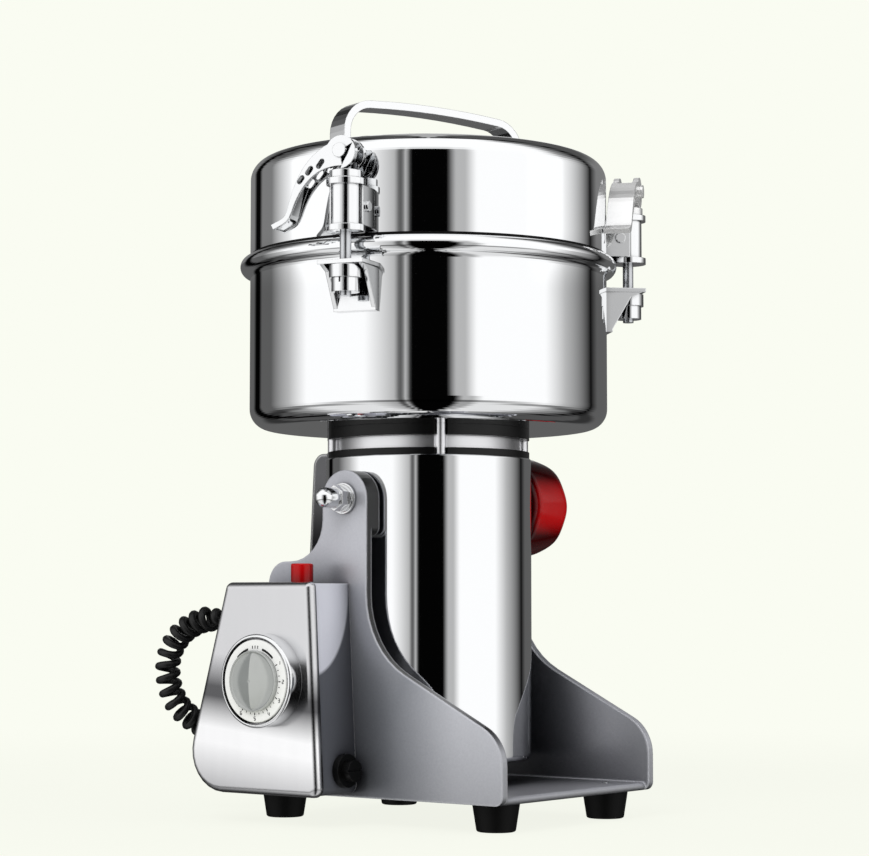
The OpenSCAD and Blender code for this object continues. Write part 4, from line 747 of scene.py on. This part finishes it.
# Degrees from the camera's side, anticlockwise from above, and the level there
CARDS = (
    (-150, ROOM), (-144, BLACK), (-136, BLACK), (-132, ROOM), (-118, ROOM), (-98, GREY), (-82, WHITE),
    (-40, WHITE), (-21, GREY), (-18, ROOM), (-16, ROOM), (-14, GREY), (-11, BLACK), (12, BLACK),
    (17, GREY), (23, GREY), (30, WHITE), (78, WHITE), (96, GREY), (118, ROOM), (125, BLACK), (136, ROOM))
CARD_POWER, SKY_DIM, DARK_LEVEL, FLOOR_LEVEL, LID_GAIN = 1.12, 0.6, 0.3, 0.45, 0.85
SKY_Z, LID_Z, HOUSING_Z = (1.3, 2.2), (0.68, 0.8), (0.4, 0.5)
DARK_Z, FLOOR_Z = (-1.0, -0.5), (-1.6, -1.3)
FLANK, FRONT, REAR = radians(62, 92), radians(80, 105), radians(170, 175)
RIGHT_START, RIGHT_END = radians(4, 11), radians(60, 85)
HOUSING_SHIFT = math.radians(4.5)
FLOOR_R, FLOOR_SIDES, FLOOR_GLOW, FADE_R, WORLD_POWER = 1.6, 96, 0.9, (0.3, 1.1), 0.6
AIM = (0, 0, 0.2)
LAMPS = (("key", (-1.6, -0.4, 1.5), (1.0, 1.0), 18), ("fill", (0.6, -1.9, 0.9), (1.2, 0.8), 6))


def card_light():
    """The cards' glow: their stops by angle, a white sky in front, and dark bands low down."""
    mat = bpy.data.materials.new("card_light")
    f = Nodes(mat)
    turn = f.node("ShaderNodeVectorRotate", rotation_type="Z_AXIS", Angle=-TO_CAMERA)
    f.feed(turn.inputs["Vector"], f.where())
    point = f.split(turn.outputs[0])
    angle = f.math("ARCTAN2", point["Y"], point["X"])
    side = f.math("ABSOLUTE", angle)

    def step(source, band, to_low=0.0, to_high=1.0):
        return f.stretch(source, *band, to_low, to_high, smooth=True)

    right = f.math("MULTIPLY", step(angle, RIGHT_START), step(angle, RIGHT_END, 1, 0))
    shift = f.math("MULTIPLY", step(point["Z"], HOUSING_Z, HOUSING_SHIFT, 0), right)
    stops = [(math.radians(degrees), (level, level, level)) for degrees, level in CARDS]
    cards = f.ramp(f.math("SUBTRACT", angle, shift), -math.pi, math.pi, stops)

    flank_gain = f.math("MULTIPLY", step(side, FLANK, 0, LID_GAIN), step(point["Z"], LID_Z))
    lifted = f.node("ShaderNodeVectorMath", operation="SCALE")
    f.feed(lifted.inputs[0], cards)
    f.feed(lifted.inputs["Scale"], f.math("ADD", 1, flank_gain))
    capped = f.node("ShaderNodeVectorMath", operation="MINIMUM")
    f.feed(capped.inputs[0], lifted.outputs[0])
    f.feed(capped.inputs[1], (1, 1, 1))

    sky = step(point["Z"], SKY_Z)
    front = step(side, FRONT, 1, 0)
    rear = f.math("MULTIPLY", step(side, REAR), step(point["Z"], LID_Z))
    white_part = f.math("MAXIMUM", f.math("MULTIPLY", sky, front), rear)
    back_sky = f.math("MULTIPLY", sky, f.math("SUBTRACT", 1, front))
    below = f.math("ADD", step(point["Z"], DARK_Z, DARK_LEVEL, 1), step(point["Z"], FLOOR_Z, FLOOR_LEVEL, 0))
    shade = f.math("MULTIPLY", below, f.math("SUBTRACT", 1, f.math("MULTIPLY", back_sky, SKY_DIM)))

    glow = f.node("ShaderNodeEmission")
    f.feed(glow.inputs["Color"], f.mix(white_part, capped.outputs[0], (255, 255, 255)))
    f.feed(glow.inputs["Strength"], f.math("MULTIPLY", shade, CARD_POWER))
    f.feed(f.node("ShaderNodeOutputMaterial").inputs["Surface"], glow.outputs[0])
    return mat


def ring_of_cards():
    """A wide tube with pointed ends round the object."""
    bm = bmesh.new()
    low, high = [[bm.verts.new((RING_R * math.cos(a), RING_R * math.sin(a), z))
                  for a in turns_of(RING_SIDES)] for z in (RING_LOW, RING_HIGH)]
    top = bm.verts.new((0, 0, RING_HIGH + RING_TIP))
    bottom = bm.verts.new((0, 0, RING_LOW - RING_TIP))
    for i in range(RING_SIDES):
        j = (i + 1) % RING_SIDES
        bm.faces.new((low[i], low[j], high[j], high[i]))
        bm.faces.new((high[i], high[j], top))
        bm.faces.new((low[j], low[i], bottom))
    ring = mesh_piece("cards", bm)
    ring.visible_camera = False
    ring.visible_diffuse = False
    ring.visible_shadow = False
    ring.visible_transmission = False
    ring.data.materials.append(card_light())


def floor_light():
    """Mostly the backdrop's own glow, with a share of light and shadow, clear at the rim."""
    mat = bpy.data.materials.new("pale_floor")
    f = Nodes(mat)
    far = f.node("ShaderNodeVectorMath", operation="LENGTH")
    f.feed(far.inputs[0], f.where())
    lit = f.node("ShaderNodeBsdfDiffuse", Color=srgb(*FLOOR_COLOUR))
    glow = f.node("ShaderNodeEmission", Color=srgb(*BACKGROUND))
    pale = f.node("ShaderNodeMixShader", Fac=FLOOR_GLOW)
    f.feed(pale.inputs[1], lit.outputs[0])
    f.feed(pale.inputs[2], glow.outputs[0])
    faded = f.node("ShaderNodeMixShader")
    f.feed(faded.inputs["Fac"], f.stretch(far.outputs["Value"], *FADE_R, smooth=True))
    f.feed(faded.inputs[1], pale.outputs[0])
    f.feed(faded.inputs[2], f.node("ShaderNodeBsdfTransparent").outputs[0])
    f.feed(f.node("ShaderNodeOutputMaterial").inputs["Surface"], faded.outputs[0])
    return mat


def floor_disc():
    """A pale floor that keeps the shadow and fades into the backdrop."""
    bm = bmesh.new()
    bmesh.ops.create_circle(bm, cap_ends=True, radius=FLOOR_R, segments=FLOOR_SIDES)
    floor = mesh_piece("floor", bm)
    floor.visible_glossy = False
    floor.data.materials.append(floor_light())


def backdrop():
    """The world: the backdrop for the camera and shiny surfaces, and plain soft light for the rest."""
    SCENE.world = bpy.data.worlds.new("studio")
    f = Nodes(SCENE.world)
    path = f.node("ShaderNodeLightPath")
    seen = f.math("MAXIMUM", path.outputs["Is Camera Ray"], path.outputs["Is Glossy Ray"])
    seen = f.math("MAXIMUM", seen, path.outputs["Is Transmission Ray"])
    soft = f.node("ShaderNodeBackground", Color=(1, 1, 1, 1), Strength=WORLD_POWER)
    shown = f.node("ShaderNodeBackground", Color=srgb(*BACKGROUND))
    either = f.node("ShaderNodeMixShader")
    f.feed(either.inputs["Fac"], seen)
    f.feed(either.inputs[1], soft.outputs[0])
    f.feed(either.inputs[2], shown.outputs[0])
    f.feed(f.node("ShaderNodeOutputWorld").inputs["Surface"], either.outputs[0])


def lamp(name, at, size, power):
    data = bpy.data.lights.new(name, "AREA")
    data.shape = "RECTANGLE"
    data.size, data.size_y = size
    data.energy = power
    obj = bpy.data.objects.new(name, data)
    obj.location = at
    obj.rotation_euler = (Vector(AIM) - Vector(at)).to_track_quat("-Z", "Y").to_euler()
    obj.visible_glossy = False
    SCENE.collection.objects.link(obj)


ring_of_cards()
floor_disc()
backdrop()
for values in LAMPS:
    lamp(*values)
